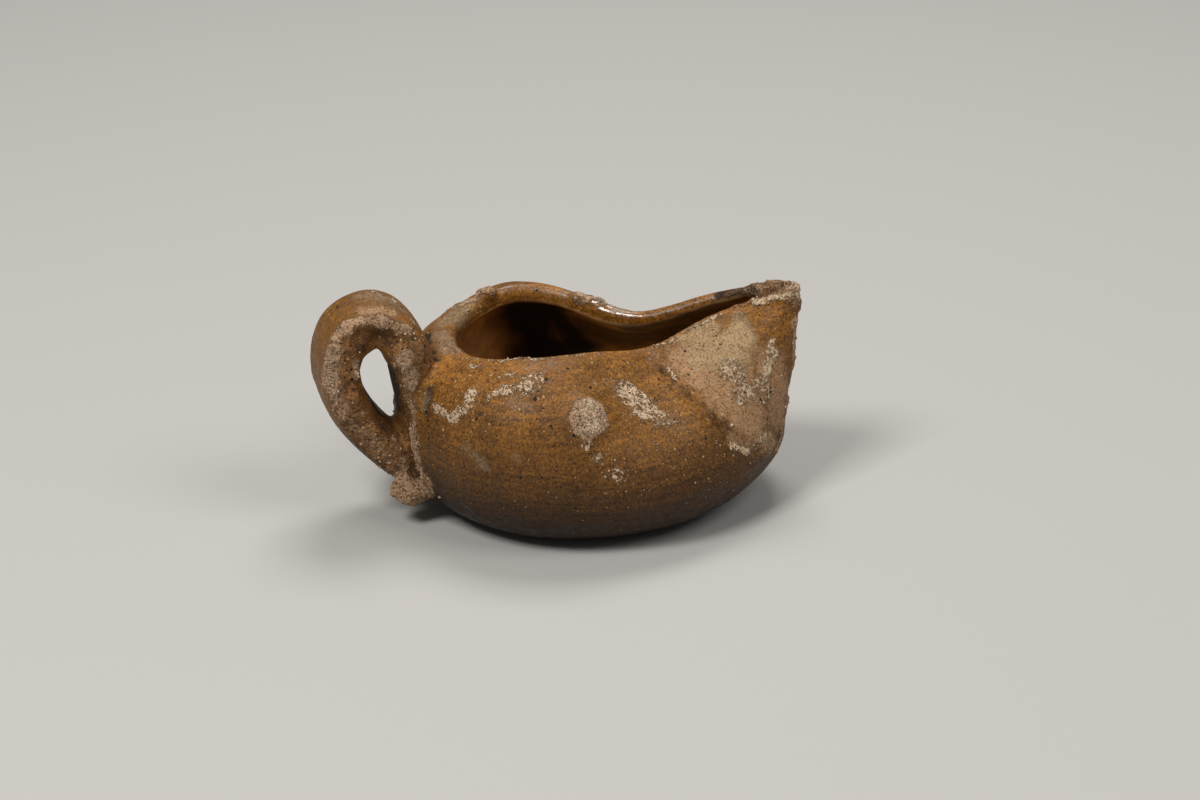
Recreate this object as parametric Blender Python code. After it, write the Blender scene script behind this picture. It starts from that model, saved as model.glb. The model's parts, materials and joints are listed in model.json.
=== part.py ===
"""An open earthenware oil lamp, thrown and pinched, with a strap handle.

The lamp is one fired piece. A squat bowl was thrown with its rim turned inwards, its front
was pulled out and pinched into a beak with a narrow slot, and a broad strap of clay was
pressed on behind as a handle. The rim, the walls, the beak and the handle are fused clay.

Frame: metres, +Z up. The origin is the middle of the flat base, on the axis that the bowl
was thrown on. The beak points along +X and the handle stands behind it, at -X.
"""

import math

import bmesh
import bpy
import numpy as np

# Thrown bowl: radii from the axis and heights above the table, on the outer face
BASE_RADIUS = 0.0227
BELLY_RADIUS = 0.0426
BELLY_HEIGHT = 0.0214
RIM_RADIUS = 0.0298
RIM_HEIGHT = 0.0433
WALL = 0.0043
FLOOR = 0.0056

# How full the profile is below and above the belly; 2 is an ellipse, more is boxier
LOW_FULLNESS = 2.2
SHOULDER_FULLNESS = 2.2

# Beak: the front pulled out along +X, with its own profile under the tip
BEAK_REACH = 0.0514
BILGE_REACH = 0.0487
BILGE_HEIGHT = 0.0155
BILGE_FULLNESS = 1.8
BEAK_WALL = 0.0031
SLOT_GAP = 0.0040
TIP_CLAY = 0.0085
TIP_BLUNTNESS = 3.7

# The wall thins to the beak's between two shares of the beak's reach
THIN_START_SHARE = 0.1
THIN_END_SHARE = 0.6

# Pinch: the share of its width that the clay loses, how that grows with height, the share
# of the height over which it sets in, and where the squeeze is centred
PINCH_SHARE_AT_RIM = 0.83
PINCH_SHARE_AT_BASE = 0.02
PINCH_GROWTH = 1.4
PINCH_ONSET_SHARE = 0.25
PINCH_RIM_X = 0.0031
PINCH_RIM_LENGTH = 0.0100
PINCH_BASE_X = 0.0405
PINCH_BASE_LENGTH = 0.0057

# The rim's ups and downs: it rises to the tip and dips at the pinch and at the handle. They
# fade out down the wall, to nothing at a share of the belly's height, and the dip at the
# handle sets in between two shares of the rim's radius behind the axis
TIP_RISE = 0.0056
WAIST_DIP = 0.0034
WAIST_X = 0.0138
WAIST_LENGTH = 0.0116
BACK_DIP = 0.0034
LEVEL_SHARE = 0.7
BACK_START_SHARE = 0.4
BACK_FULL_SHARE = 1.05

# Strap handle: how far its middle line stands out past the belly and rises over the rim
HANDLE_REACH = 0.0142
HANDLE_RISE = 0.0086
HANDLE_FOOT = 0.0090
HANDLE_WIDTH = 0.0186
HANDLE_THICKNESS = 0.0098
HANDLE_TURN = math.radians(8.0)
HANDLE_SQUARENESS = 3.0

# The strap's middle line, as shares of its reach past the belly and of its height, and the
# strap's thickness there as a share of HANDLE_THICKNESS
HANDLE_LINE = (
    (-0.31, 0.48, 0.98),
    (-0.22, 0.71, 1.02),
    (-0.10, 0.82, 1.05),
    (0.03, 0.92, 0.98),
    (0.23, 0.99, 0.92),
    (0.50, 1.00, 0.92),
    (0.84, 0.93, 0.96),
    (1.00, 0.79, 1.00),
    (0.97, 0.62, 1.02),
    (0.79, 0.45, 1.02),
    (0.50, 0.30, 1.00),
    (0.16, 0.18, 1.00),
    (-0.20, 0.08, 0.98),
    (-0.50, 0.00, 0.95),
)

# Smear of the strap's upper end down the wall, given the same way, and its narrower width
SMEAR_WIDTH = 0.0170
SMEAR_LINE = (
    (-0.30, 0.12, 0.80),
    (-0.28, 0.32, 0.86),
    (-0.30, 0.50, 0.90),
    (-0.27, 0.64, 0.86),
)

# Lump of squeezed clay beside the handle's lower end, on the near side
LUMP_LENGTH = 0.0100
LUMP_WIDTH = 0.0070
LUMP_HEIGHT = 0.0068
LUMP_LIFT = 0.0088
LUMP_INSET = 0.0010

# Faces: columns round the bowl and how they crowd to the tip, rows up it, and sections
# along and round the strap
COLUMNS_BACK = 30
COLUMNS_FRONT = 36
COLUMN_CROWDING = 0.75
ROWS_LOW = 10
ROWS_SHOULDER = 11
ROWS_LIP = 5
ROWS_FLOOR = 3
STRAP_STEPS = 3
STRAP_SIDES = 20

GLAZE_COLOUR = (0.20, 0.085, 0.025, 1.0)
GLAZE_ROUGHNESS = 0.35


def clear_scene():
    """Remove every object that the scene starts with."""
    for obj in list(bpy.data.objects):
        bpy.data.objects.remove(obj, do_unlink=True)


def ease(share):
    """Return 0 to 1 with soft ends, for a share that may lie outside 0 to 1."""
    share = np.clip(share, 0.0, 1.0)
    return share * share * (3.0 - 2.0 * share)


def thrown_profile():
    """Return the radii and heights of the outer face, from the base's edge to the rim."""
    low = np.linspace(0.0, math.pi / 2, ROWS_LOW)
    low_r = BASE_RADIUS + (BELLY_RADIUS - BASE_RADIUS) * np.sin(low) ** (2 / LOW_FULLNESS)
    low_z = BELLY_HEIGHT * (1.0 - np.cos(low) ** (2 / LOW_FULLNESS))
    top = np.linspace(0.0, math.pi / 2, ROWS_SHOULDER)[1:]
    top_r = RIM_RADIUS + (BELLY_RADIUS - RIM_RADIUS) * np.cos(top) ** (2 / SHOULDER_FULLNESS)
    top_z = BELLY_HEIGHT + (RIM_HEIGHT - BELLY_HEIGHT) * np.sin(top) ** (2 / SHOULDER_FULLNESS)
    return np.concatenate([low_r, top_r]), np.concatenate([low_z, top_z])


def front_reach(z):
    """Return how far the front stands from the axis at each height: bilge, then beak."""
    low = np.clip(z / BILGE_HEIGHT, 0.0, 1.0)
    curve = (1.0 - (1.0 - low) ** BILGE_FULLNESS) ** (1 / BILGE_FULLNESS)
    bilge = BASE_RADIUS + (BILGE_REACH - BASE_RADIUS) * curve
    lean = (BEAK_REACH - BILGE_REACH) * ease((z - BILGE_HEIGHT) / (RIM_HEIGHT - BILGE_HEIGHT))
    return bilge + lean


def column_angles():
    """Return the columns' angles round the bowl from the tip, closer together at the beak."""
    side = np.linspace(0.0, 1.0, COLUMNS_FRONT // 2 + 1) ** COLUMN_CROWDING * math.pi / 2
    back = np.linspace(math.pi / 2, 3 * math.pi / 2, COLUMNS_BACK + 1)[1:-1]
    return np.concatenate([side, back, 2 * math.pi - side[:0:-1]])


def pinch(radius, angle, z):
    """Turn points of the thrown bowl into points of the pulled and pinched lamp.

    Args:
        radius, angle, z: arrays of one shape, in the bowl's polar coordinates.
    """
    height = np.clip(z / RIM_HEIGHT, 0.0, 1.0)
    blunt = 2.0 + (TIP_BLUNTNESS - 2.0) * height ** 2
    cos, sin = np.cos(angle), np.sin(angle)
    swell = (np.abs(cos) ** blunt + np.abs(sin) ** blunt) ** (-1 / blunt)
    front = cos > 0.0
    x = np.where(front, front_reach(z) * cos * swell, radius * cos)
    spread = np.where(front, sin * swell, sin)
    centre = PINCH_BASE_X + (PINCH_RIM_X - PINCH_BASE_X) * height
    length = PINCH_BASE_LENGTH + (PINCH_RIM_LENGTH - PINCH_BASE_LENGTH) * height
    most = PINCH_SHARE_AT_BASE + (PINCH_SHARE_AT_RIM - PINCH_SHARE_AT_BASE) * height ** PINCH_GROWTH
    depth = most * ease(height / PINCH_ONSET_SHARE)
    y = radius * spread * (1.0 - depth / (1.0 + np.exp(-(x - centre) / length)))
    level = LEVEL_SHARE * BELLY_HEIGHT
    lift = TIP_RISE * ease((x - WAIST_X) / (BEAK_REACH - WAIST_X))
    dip = WAIST_DIP * np.exp(-((x - WAIST_X) / WAIST_LENGTH) ** 2)
    behind = (-x / RIM_RADIUS - BACK_START_SHARE) / (BACK_FULL_SHARE - BACK_START_SHARE)
    back = BACK_DIP * ease(behind)
    return x, y, z + ease((z - level) / (RIM_HEIGHT - level)) * (lift - dip - back)


def outer_face():
    """Return the outer face as an array of rows, columns and x, y, z."""
    radii, heights = thrown_profile()
    angles = column_angles()
    radius, angle = np.meshgrid(radii, angles, indexing="ij")
    z = np.broadcast_to(heights[:, None], radius.shape)
    return np.stack(pinch(radius, angle, z), axis=-1)


def outward_normals(face):
    """Return the unit normals of a face whose columns run round and whose rows run up."""
    up = np.gradient(face, axis=0)
    along = np.roll(face, -1, axis=1) - np.roll(face, 1, axis=1)
    normal = np.cross(along, up)
    return normal / np.linalg.norm(normal, axis=-1, keepdims=True)


def inward(face, share):
    """Return the face moved into the clay by a share of the wall, over the floor's top."""
    reach = face[..., 0:1] / BEAK_REACH
    thin = ease((reach - THIN_START_SHARE) / (THIN_END_SHARE - THIN_START_SHARE))
    wall = WALL + (BEAK_WALL - WALL) * thin
    inner = face - outward_normals(face) * wall * share
    inner[..., 0] = np.minimum(inner[..., 0], BEAK_REACH - TIP_CLAY * share)
    side = np.sign(face[..., 1])
    off_tip = ease(np.abs(face[..., 1]) / SLOT_GAP) * ease(face[..., 0] / WAIST_X - 1.0)
    inner[..., 1] = side * np.maximum(side * inner[..., 1], SLOT_GAP / 2 * off_tip)
    inner[..., 2] = np.maximum(inner[..., 2], FLOOR * share)
    return inner


def lip_rows(face, inner):
    """Return the rounded rows between the outer face's edge and the inner one's."""
    middle = (face[-1] + inner[-1]) / 2
    half = (face[-1] - inner[-1]) / 2
    towards = face[-1] - face[-2]
    towards /= np.linalg.norm(towards, axis=-1, keepdims=True)
    turns = np.linspace(0.0, math.pi, ROWS_LIP + 2)[1:-1]
    return [middle + half * math.cos(a) + towards * math.sin(a) * BEAK_WALL / 2 for a in turns]


def disc_rows(edge, count):
    """Return rings that shrink from a flat edge towards its middle, largest first."""
    middle = np.array([0.0, 0.0, edge[:, 2].mean()])
    shares = np.linspace(1.0, 0.0, count + 1)[1:-1]
    return [middle + (edge - middle) * share for share in shares]


def skin_mesh(name, rows, first, last):
    """Make a closed mesh from rings of points, with a point that closes each end."""
    mesh = bpy.data.meshes.new(name)
    bm = bmesh.new()
    rings = [[bm.verts.new(point) for point in row] for row in rows]
    count = len(rings[0])
    for low, high in zip(rings, rings[1:]):
        for i in range(count):
            j = (i + 1) % count
            bm.faces.new((low[i], low[j], high[j], high[i]))
    start, end = bm.verts.new(first), bm.verts.new(last)
    for i in range(count):
        j = (i + 1) % count
        bm.faces.new((start, rings[0][j], rings[0][i]))
        bm.faces.new((end, rings[-1][i], rings[-1][j]))
    bmesh.ops.triangulate(bm, faces=bm.faces[:])
    bmesh.ops.recalc_face_normals(bm, faces=bm.faces[:])
    bm.to_mesh(mesh)
    bm.free()
    return mesh


def make_object(name, mesh):
    """Link a mesh to the scene as an object of the same name."""
    obj = bpy.data.objects.new(name, mesh)
    bpy.context.collection.objects.link(obj)
    return obj


def bowl_object(name):
    """Make the hollow bowl with its beak: underside, outer face, lip, inner face, floor."""
    face = outer_face()
    inner = inward(face, 1.0)
    rows = disc_rows(face[0], ROWS_FLOOR)[::-1] + list(face) + lip_rows(face, inner)
    rows += list(inner[::-1]) + disc_rows(inner[0], ROWS_FLOOR)
    return make_object(name, skin_mesh(name, rows, (0.0, 0.0, 0.0), (0.0, 0.0, FLOOR)))


def core_object(name):
    """Make the solid that fills the bowl up to the middle of its wall, to trim with."""
    middle = inward(outer_face(), 0.5)
    top = (0.0, 0.0, middle[-1, :, 2].mean())
    bottom = (0.0, 0.0, middle[0, :, 2].mean())
    return make_object(name, skin_mesh(name, list(middle), bottom, top))


def smooth_line(points, steps):
    """Return a smooth curve through the points, with a number of steps between each two."""
    points = np.array(points)
    ends = np.vstack([2 * points[0] - points[1], points, 2 * points[-1] - points[-2]])
    curve = []
    for before, here, there, after in zip(ends, ends[1:], ends[2:], ends[3:]):
        for t in np.arange(steps) / steps:
            curve.append(0.5 * (2 * here + (there - before) * t
                                + (2 * before - 5 * here + 4 * there - after) * t ** 2
                                + (3 * here - before - 3 * there + after) * t ** 3))
    return np.array(curve + [points[-1]])


def strap_line(points):
    """Return a strap's middle line as x, z and thickness, x measured from the axis."""
    top = RIM_HEIGHT - BACK_DIP + HANDLE_RISE
    line = smooth_line(points, STRAP_STEPS)
    x = -(BELLY_RADIUS + line[:, 0] * HANDLE_REACH)
    z = HANDLE_FOOT + line[:, 1] * (top - HANDLE_FOOT)
    return x, z, line[:, 2] * HANDLE_THICKNESS


def turned(x, y, z):
    """Turn a point about the bowl's axis by the handle's angle to the beak."""
    cos, sin = math.cos(HANDLE_TURN), math.sin(HANDLE_TURN)
    return (x * cos - y * sin, x * sin + y * cos, z)


def strap_object(name, points, width):
    """Make a strap as a squarish section carried along its middle line.

    Args:
        points: the middle line and thickness, as shares.
        width: the strap's width across.
    """
    xs, zs, depths = strap_line(points)
    slopes = np.stack([np.gradient(xs), np.gradient(zs)], axis=1)
    slopes /= np.linalg.norm(slopes, axis=1, keepdims=True)
    angles = np.linspace(0.0, 2 * math.pi, STRAP_SIDES, endpoint=False)
    power = 2 / HANDLE_SQUARENESS
    across = np.sign(np.cos(angles)) * np.abs(np.cos(angles)) ** power * width / 2
    proud = np.sign(np.sin(angles)) * np.abs(np.sin(angles)) ** power / 2
    rows = []
    for x, z, depth, (along_x, along_z) in zip(xs, zs, depths, slopes):
        rows.append([turned(x - along_z * p * depth, a, z + along_x * p * depth)
                     for a, p in zip(across, proud)])
    first, last = turned(xs[0], 0.0, zs[0]), turned(xs[-1], 0.0, zs[-1])
    return make_object(name, skin_mesh(name, rows, first, last))


def lump_object(name):
    """Make the squeezed lump of clay at the near side of the strap's lower end."""
    bm = bmesh.new()
    bmesh.ops.create_icosphere(bm, subdivisions=2, radius=0.5)
    for vert in bm.verts:
        x = LUMP_INSET - BELLY_RADIUS + vert.co.x * LUMP_LENGTH
        y = -HANDLE_WIDTH / 2 + vert.co.y * LUMP_WIDTH
        vert.co = turned(x, y, LUMP_LIFT + vert.co.z * LUMP_HEIGHT)
    mesh = bpy.data.meshes.new(name)
    bm.to_mesh(mesh)
    bm.free()
    return make_object(name, mesh)


def combine(target, tool, operation):
    """Give the target a Boolean with the tool, which becomes a hidden guide."""
    modifier = target.modifiers.new(tool.name, "BOOLEAN")
    modifier.operation = operation
    modifier.solver = "EXACT"
    modifier.object = tool
    tool.hide_render = True
    tool.display_type = "WIRE"


def glaze_material():
    """Make the lead glaze over reddish clay: a warm brown, fairly glossy."""
    material = bpy.data.materials.new("amber_glaze")
    material.use_nodes = True
    shader = material.node_tree.nodes["Principled BSDF"]
    shader.inputs["Base Color"].default_value = GLAZE_COLOUR
    shader.inputs["Roughness"].default_value = GLAZE_ROUGHNESS
    shader.inputs["Metallic"].default_value = 0.0
    return material


def build_lamp():
    """Build the lamp: the bowl with the strap, its smear and the lump, trimmed to the wall."""
    lamp = bowl_object("lamp")
    core = core_object("core_guide")
    added = (
        strap_object("strap_guide", HANDLE_LINE, HANDLE_WIDTH),
        strap_object("smear_guide", SMEAR_LINE, SMEAR_WIDTH),
        lump_object("lump_guide"),
    )
    for clay in added:
        combine(clay, core, "DIFFERENCE")
        combine(lamp, clay, "UNION")
    lamp.data.materials.append(glaze_material())
    lamp.data.shade_smooth()
    lamp.data.set_sharp_from_angle(angle=math.radians(40))
    return lamp


def main():
    """Clear the scene and build the one piece."""
    clear_scene()
    build_lamp()


main()
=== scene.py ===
"""Earthenware oil lamp: the thrown, glazed and long-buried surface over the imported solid.

The lamp is one fired piece. It was thrown, its front was pinched into a beak while soft, and a
strap of clay was pressed on behind. The lead glaze is amber over a reddish-buff clay, and burial
left lime crust, stains and worn patches on it. The scene stands it on a plain floor.

Frame: metres, +Z up, origin in the middle of the base. Marks on the surface are in millimetres.
"""

from __future__ import annotations

import json
import logging
import math
from dataclasses import dataclass, field
from enum import Enum
from typing import Iterable, Optional, Sequence

import bmesh
import bpy
import numpy as np
from bpy.types import ID, Material, Mesh, Node, NodeSocket, NodeTree, Object
from mathutils import Matrix, Vector
from mathutils.kdtree import KDTree

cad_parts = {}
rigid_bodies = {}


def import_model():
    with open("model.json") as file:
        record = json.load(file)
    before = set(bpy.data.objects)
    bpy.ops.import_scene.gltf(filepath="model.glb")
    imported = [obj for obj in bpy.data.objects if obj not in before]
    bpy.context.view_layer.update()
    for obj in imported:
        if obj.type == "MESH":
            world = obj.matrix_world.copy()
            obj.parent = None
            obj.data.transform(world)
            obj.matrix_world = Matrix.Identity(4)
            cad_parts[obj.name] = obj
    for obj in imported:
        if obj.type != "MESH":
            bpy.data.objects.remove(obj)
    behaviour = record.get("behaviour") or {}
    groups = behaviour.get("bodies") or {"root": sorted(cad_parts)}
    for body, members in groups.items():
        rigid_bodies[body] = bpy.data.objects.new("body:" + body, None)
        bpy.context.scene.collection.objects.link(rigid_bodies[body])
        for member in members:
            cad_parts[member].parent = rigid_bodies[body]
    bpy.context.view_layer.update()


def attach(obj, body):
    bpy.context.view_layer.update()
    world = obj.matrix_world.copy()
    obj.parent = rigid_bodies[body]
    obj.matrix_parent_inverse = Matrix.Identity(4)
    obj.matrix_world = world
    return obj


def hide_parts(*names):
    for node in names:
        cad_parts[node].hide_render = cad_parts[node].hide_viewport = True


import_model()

MM = 0.001
LOG = logging.getLogger("lamp")
Point = tuple[float, float, float]
STRAP_TURN = math.radians(8.0)


class Trace(Enum):
    """What use and burial left on the surface, and where shade is painted; each is an attribute on the
    finished mesh.
    """

    LIME = "lime"
    CRUST = "crust"
    CREAM = "cream"
    PINK = "pink"
    BUFF = "buff"
    SOOT_AND_SHADE = "soot_and_shade"
    PALE = "pale"
    DUST = "dust"
    GLOSS = "gloss"
    SMOKE = "smoke_and_shade"
    CAVITY = "cavity"
    STRAP = "strap"
    GRAIN = "grain"


LIME, CRUST, CREAM, PINK, BUFF, SOOT_AND_SHADE, PALE, DUST, GLOSS, SMOKE, CAVITY, STRAP, GRAIN = Trace
# How strongly each trace roughens the clay, and how much loose grit it holds besides the lime's
ROUGHENS: dict[Trace, float] = {LIME: 1.0, CRUST: 1.0, CREAM: 0.35, BUFF: 0.5, PINK: 0.2}
HOLDS_GRIT: dict[Trace, float] = {CRUST: 0.5, BUFF: 0.15, CREAM: 0.1, PINK: 0.05}


@dataclass(frozen=True)
class Mark:
    """One trace as a round-ended stroke over the surface, in millimetres.

    Attributes:
        kind: what the trace is.
        start, end: the stroke's two ends; equal for a spot.
        radius: how far the trace spreads from the stroke.
        strength: how fully it covers, 0 to 1.
        rise: how proud it stands at its middle, below 0 for a hollow.
        push: how far the clay under it was pushed, and which way.
    """

    kind: Trace
    start: Point
    end: Point
    radius: float
    strength: float = 1.0
    rise: float = 0.0
    push: Point = (0.0, 0.0, 0.0)


def ease(share: np.ndarray) -> np.ndarray:
    """Return 0 to 1 with soft ends.

    Args:
        share: values that may lie outside 0 to 1.

    Returns:
        The eased values.
    """
    share = np.clip(share, 0.0, 1.0)
    return share * share * (3.0 - 2.0 * share)


@dataclass(frozen=True)
class Texture:
    """One kind of unevenness in the clay, with sizes in millimetres.

    Attributes:
        size: the width of one bump.
        height: how far the bumps stand out.
        octaves: how many layers it has, each half as wide and half as strong.
        stretch: how the points are scaled first; a small share draws the bumps out along an axis.
        shift: how far the points are moved, so that no two kinds look alike.
    """

    size: float
    height: float
    octaves: int = 2
    stretch: Point = (1.0, 1.0, 1.0)
    shift: Point = (0.0, 0.0, 0.0)


@dataclass(frozen=True)
class Crease:
    """A groove along a line of points, in millimetres; one with a depth below 0 is a ridge."""

    line: tuple[Point, ...]
    depth: float
    width: float


@dataclass(frozen=True)
class Front:
    """The clay in front of a distance and above a height, with soft edges, in millimetres."""

    x: float
    x_soft: float
    z: float
    z_soft: float

    def share(self, points: np.ndarray) -> np.ndarray:
        """Return how far inside it each point is, 0 to 1."""
        return ease((points[:, 0] - self.x) / self.x_soft) * ease((points[:, 2] - self.z) / self.z_soft)


# The traces on the near side follow the object; those on the far side are plainer guesses
BELLY_MARKS: tuple[Mark, ...] = (
    # the lime disc on the shoulder, and its smear down the belly
    Mark(CRUST, (-1.8, -35, 33.8), (-1, -35.5, 33.4), 5.7, 1.0, 0.6),
    Mark(LIME, (-1.8, -35, 33.8), (-1, -35.5, 33.4), 5.4, 0.56, 0.3),
    Mark(LIME, (-2.5, -38, 30), (-2, -39, 28.5), 2.0, 0.5, 0.1),
    Mark(LIME, (0.5, -40, 26), (1.5, -41, 24), 1.8, 0.42),
    Mark(LIME, (3, -41, 22), (6, -41, 21), 1.6, 0.4),
    # the slanting patch, dense above and loose below
    Mark(LIME, (9, -26, 35.5), (13, -28.5, 31.5), 5.2, 0.66, 0.2),
    Mark(LIME, (13, -28.5, 31.5), (16, -30, 29), 3.2, 0.46, 0.1),
    Mark(LIME, (14, -27, 31), (19, -28, 28.5), 1.8, 0.48, 0.05),
    Mark(PALE, (3, -26, 38), (20, -29, 28), 5.0, 0.45),
    Mark(DUST, (7, -24, 37.5), (20, -30, 28), 6.5, 0.9),
    # streaks and the arc near the handle
    Mark(LIME, (-23, -29.5, 37), (-18, -31, 38.5), 1.5, 0.62, 0.1),
    Mark(LIME, (-20, -30, 38.8), (-12, -32, 39.4), 2.4, 0.52, 0.08),
    Mark(LIME, (-20, -27, 40.5), (-11, -30, 41), 1.4, 0.5),
    Mark(LIME, (-26, -19, 40), (-24, -21, 40.5), 1.4, 0.5, 0.05),
    Mark(LIME, (-26.5, -26.5, 36.5), (-28, -27.5, 34), 1.8, 0.66, 0.15),
    Mark(LIME, (-28, -28, 34), (-31, -27, 31), 2.0, 0.66, 0.15),
    Mark(LIME, (-31, -26, 31), (-35, -21, 31.5), 1.5, 0.56, 0.08),
    Mark(DUST, (-34, -22, 34), (-12, -33, 38), 8.0, 0.95),
    Mark(DUST, (0, -38, 30), (8, -41, 20), 6.0, 0.7),
    # bluish blisters on the lower shoulder
    Mark(PALE, (-28, -31.5, 26), (-27, -32, 25), 1.8, 0.7, 0.1),
    Mark(PALE, (-26, -33, 24), (-24, -35, 22.5), 2.2, 0.75, 0.12),
    Mark(PALE, (-18, -38, 26), (-17, -38.5, 25), 1.5, 0.6, 0.05),
    # painted shade beside the handle, and in the crease between the handle and the rim
    Mark(SOOT_AND_SHADE, (-35, -17.5, 34), (-36, -20, 30), 2.6, 0.55, -0.1),
    Mark(SOOT_AND_SHADE, (-35, 8, 38), (-33.5, -10, 38.5), 1.7, 0.8, -0.5),
    # soot on the inside of the far wall, thinner towards the beak, also painted shade deep in the mouth;
    # and a stain on the floor
    Mark(SMOKE, (-10, 33, 33), (-3, 37, 18), 11.0, 1.0),
    Mark(SMOKE, (-4, 28, 36), (4, 35, 22), 9.0, 1.0),
    Mark(SMOKE, (0, 30, 28), (26, 14, 30), 12.0, 0.85),
    Mark(SMOKE, (-2, 4, 6), (6, -2, 6), 17.0, 0.6),
    Mark(SMOKE, (14, 10, 33), (42, 3, 40), 9.0, 0.8),
    # pits where stones popped out or bubbles burst, darkened as painted shade in the hollows
    Mark(SOOT_AND_SHADE, (-13, -34, 38), (-13, -34, 38), 0.9, 0.95, -0.5),
    Mark(SOOT_AND_SHADE, (-21, -24, 41), (-21, -24, 41), 0.6, 0.9, -0.35),
    Mark(SOOT_AND_SHADE, (-10, -30, 41), (-10, -30, 41), 0.7, 0.9, -0.4),
    Mark(SOOT_AND_SHADE, (-26, -31, 32.5), (-26, -31, 32.5), 0.7, 0.8, -0.4),
    Mark(SOOT_AND_SHADE, (7, -22, 38.5), (7, -22, 38.5), 0.8, 0.95, -0.5),
    Mark(SOOT_AND_SHADE, (-8, -40, 28), (-8, -40, 28), 0.5, 0.9, -0.3),
    Mark(SOOT_AND_SHADE, (20, -33, 22), (20, -33, 22), 0.5, 0.8, -0.3),
)
BEAK_MARKS: tuple[Mark, ...] = (
    # cream deposit under the lip of the cheek, grey along its lower right edge
    Mark(CREAM, (24, -10, 41.5), (30, -9, 43), 4.0, 0.8, 0.1),
    Mark(CREAM, (28, -12.5, 39.5), (36, -11, 41), 5.6, 0.95, 0.15),
    Mark(CREAM, (30, -14, 38), (36, -14, 37.5), 4.0, 0.85, 0.15),
    Mark(PALE, (37, -8, 45), (39.5, -11, 40.5), 2.4, 0.9, 0.05),
    Mark(PALE, (39.5, -11, 40.5), (33, -16, 35.5), 1.8, 0.9, 0.05),
    # dull pinkish skin of everything beyond the fold, with white flecks
    Mark(PINK, (24, -14, 39), (30, -21, 30), 6.0, 0.9),
    Mark(PINK, (33, -18, 35), (38, -21, 25), 8.5, 1.0),
    Mark(PINK, (43, -13, 34), (46, -12, 20), 7.0, 0.9),
    Mark(PINK, (36, -24, 22), (43, -17, 17), 5.0, 0.8),
    Mark(PINK, (17, -14, 39), (24, -18, 35), 3.0, 0.55),
    Mark(LIME, (34, -17, 35.5), (37, -18, 32), 4.2, 0.5, 0.1),
    Mark(LIME, (37, -18.5, 31), (41, -16.5, 30), 4.0, 0.5, 0.1),
    Mark(LIME, (42.5, -15, 34), (43.5, -12.5, 37.5), 2.4, 0.54, 0.15),
    Mark(LIME, (43.5, -11.5, 39.5), (44.5, -11, 40), 1.2, 0.7, 0.2),
    Mark(DUST, (28, -17, 36), (42, -16, 29), 10.0, 1.0),
    Mark(DUST, (34, -22, 26), (45, -14, 20), 8.0, 1.0),
    # scratches across the fold and down the hollow
    Mark(LIME, (16.5, -13, 38.5), (23.5, -20.5, 33), 0.6, 0.8),
    Mark(LIME, (19.5, -16.3, 36.5), (22, -20.5, 33), 0.6, 0.9),
    Mark(LIME, (36, -20, 28.5), (39, -20, 23), 0.6, 0.9),
    Mark(LIME, (26, -17.5, 35), (30, -21, 30), 0.5, 0.7),
    # painted shade in the valley before the fold
    Mark(SOOT_AND_SHADE, (21, -25, 31), (30, -29, 22), 6.0, 0.16),
    Mark(SOOT_AND_SHADE, (17, -15.5, 37.5), (23, -21.5, 32), 1.4, 0.44),
    Mark(SOOT_AND_SHADE, (23, -21.5, 32), (29.5, -25, 26), 1.5, 0.5),
    Mark(SOOT_AND_SHADE, (29.5, -25, 26), (34, -25.5, 20.5), 1.8, 0.42),
    # brown glass left bare between the cream patch and the keel
    Mark(SOOT_AND_SHADE, (40, -7, 43), (47, -6, 41), 5.0, 0.36),
    # loose arc low on the cheek
    Mark(LIME, (32.5, -26.5, 21), (36, -24.5, 18.5), 1.2, 0.7, 0.12),
    Mark(LIME, (36, -24.5, 18.5), (42, -19, 20), 1.1, 0.56, 0.08),
    Mark(DUST, (20, -33, 20), (40, -21, 16), 9.0, 0.5),
    # flaked keel under the tip
    Mark(CRUST, (51.5, 0, 45), (51, -1, 34), 3.4, 0.85, 0.2),
    Mark(CRUST, (50, -5.5, 42), (49.5, -6.7, 34), 1.8, 0.85, 0.3),
    Mark(CRUST, (49.5, -6.7, 34), (48.3, -8.8, 25), 2.2, 0.85, 0.3),
    Mark(CRUST, (48.2, -8.8, 24), (44.5, -14.5, 14.5), 2.2, 0.6, 0.2),
    Mark(LIME, (51, -3, 41), (50, -5, 32), 1.2, 0.46, 0.1),
    Mark(SOOT_AND_SHADE, (51, -2.5, 36), (50, -4.5, 31), 0.8, 0.6, -0.2),
    # the tip: rough fill of clay in the channel with lime along both edges, sooty behind it
    Mark(BUFF, (42, 0.5, 47.5), (50, -0.5, 48), 5.2, 1.0),
    Mark(CRUST, (42, 1, 48), (49, 0, 48.5), 4.6, 0.5),
    Mark(SOOT_AND_SHADE, (41, 2.5, 48), (47, 2, 49), 0.9, 0.8, -0.4),
    Mark(LIME, (41, -4.5, 47.5), (50.5, -4, 48.5), 1.6, 0.75, 0.35),
    Mark(BUFF, (36.5, -5, 46.5), (41, -4, 47.5), 1.6, 0.8),
    Mark(LIME, (43, 4.5, 48.5), (50, 3.5, 49.5), 0.8, 0.5, 0.2),
    Mark(LIME, (50.5, -2.5, 47.5), (51, 1, 49), 2.1, 0.8, 0.3),
    Mark(SOOT_AND_SHADE, (35, 4.5, 45.5), (41, 4, 47), 3.0, 0.75),
    Mark(SOOT_AND_SHADE, (40, 1, 44), (41, 1, 46.5), 3.4, 0.9),
    Mark(PALE, (36, 3, 46), (39, 4, 47), 2.6, 0.9),
)
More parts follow.
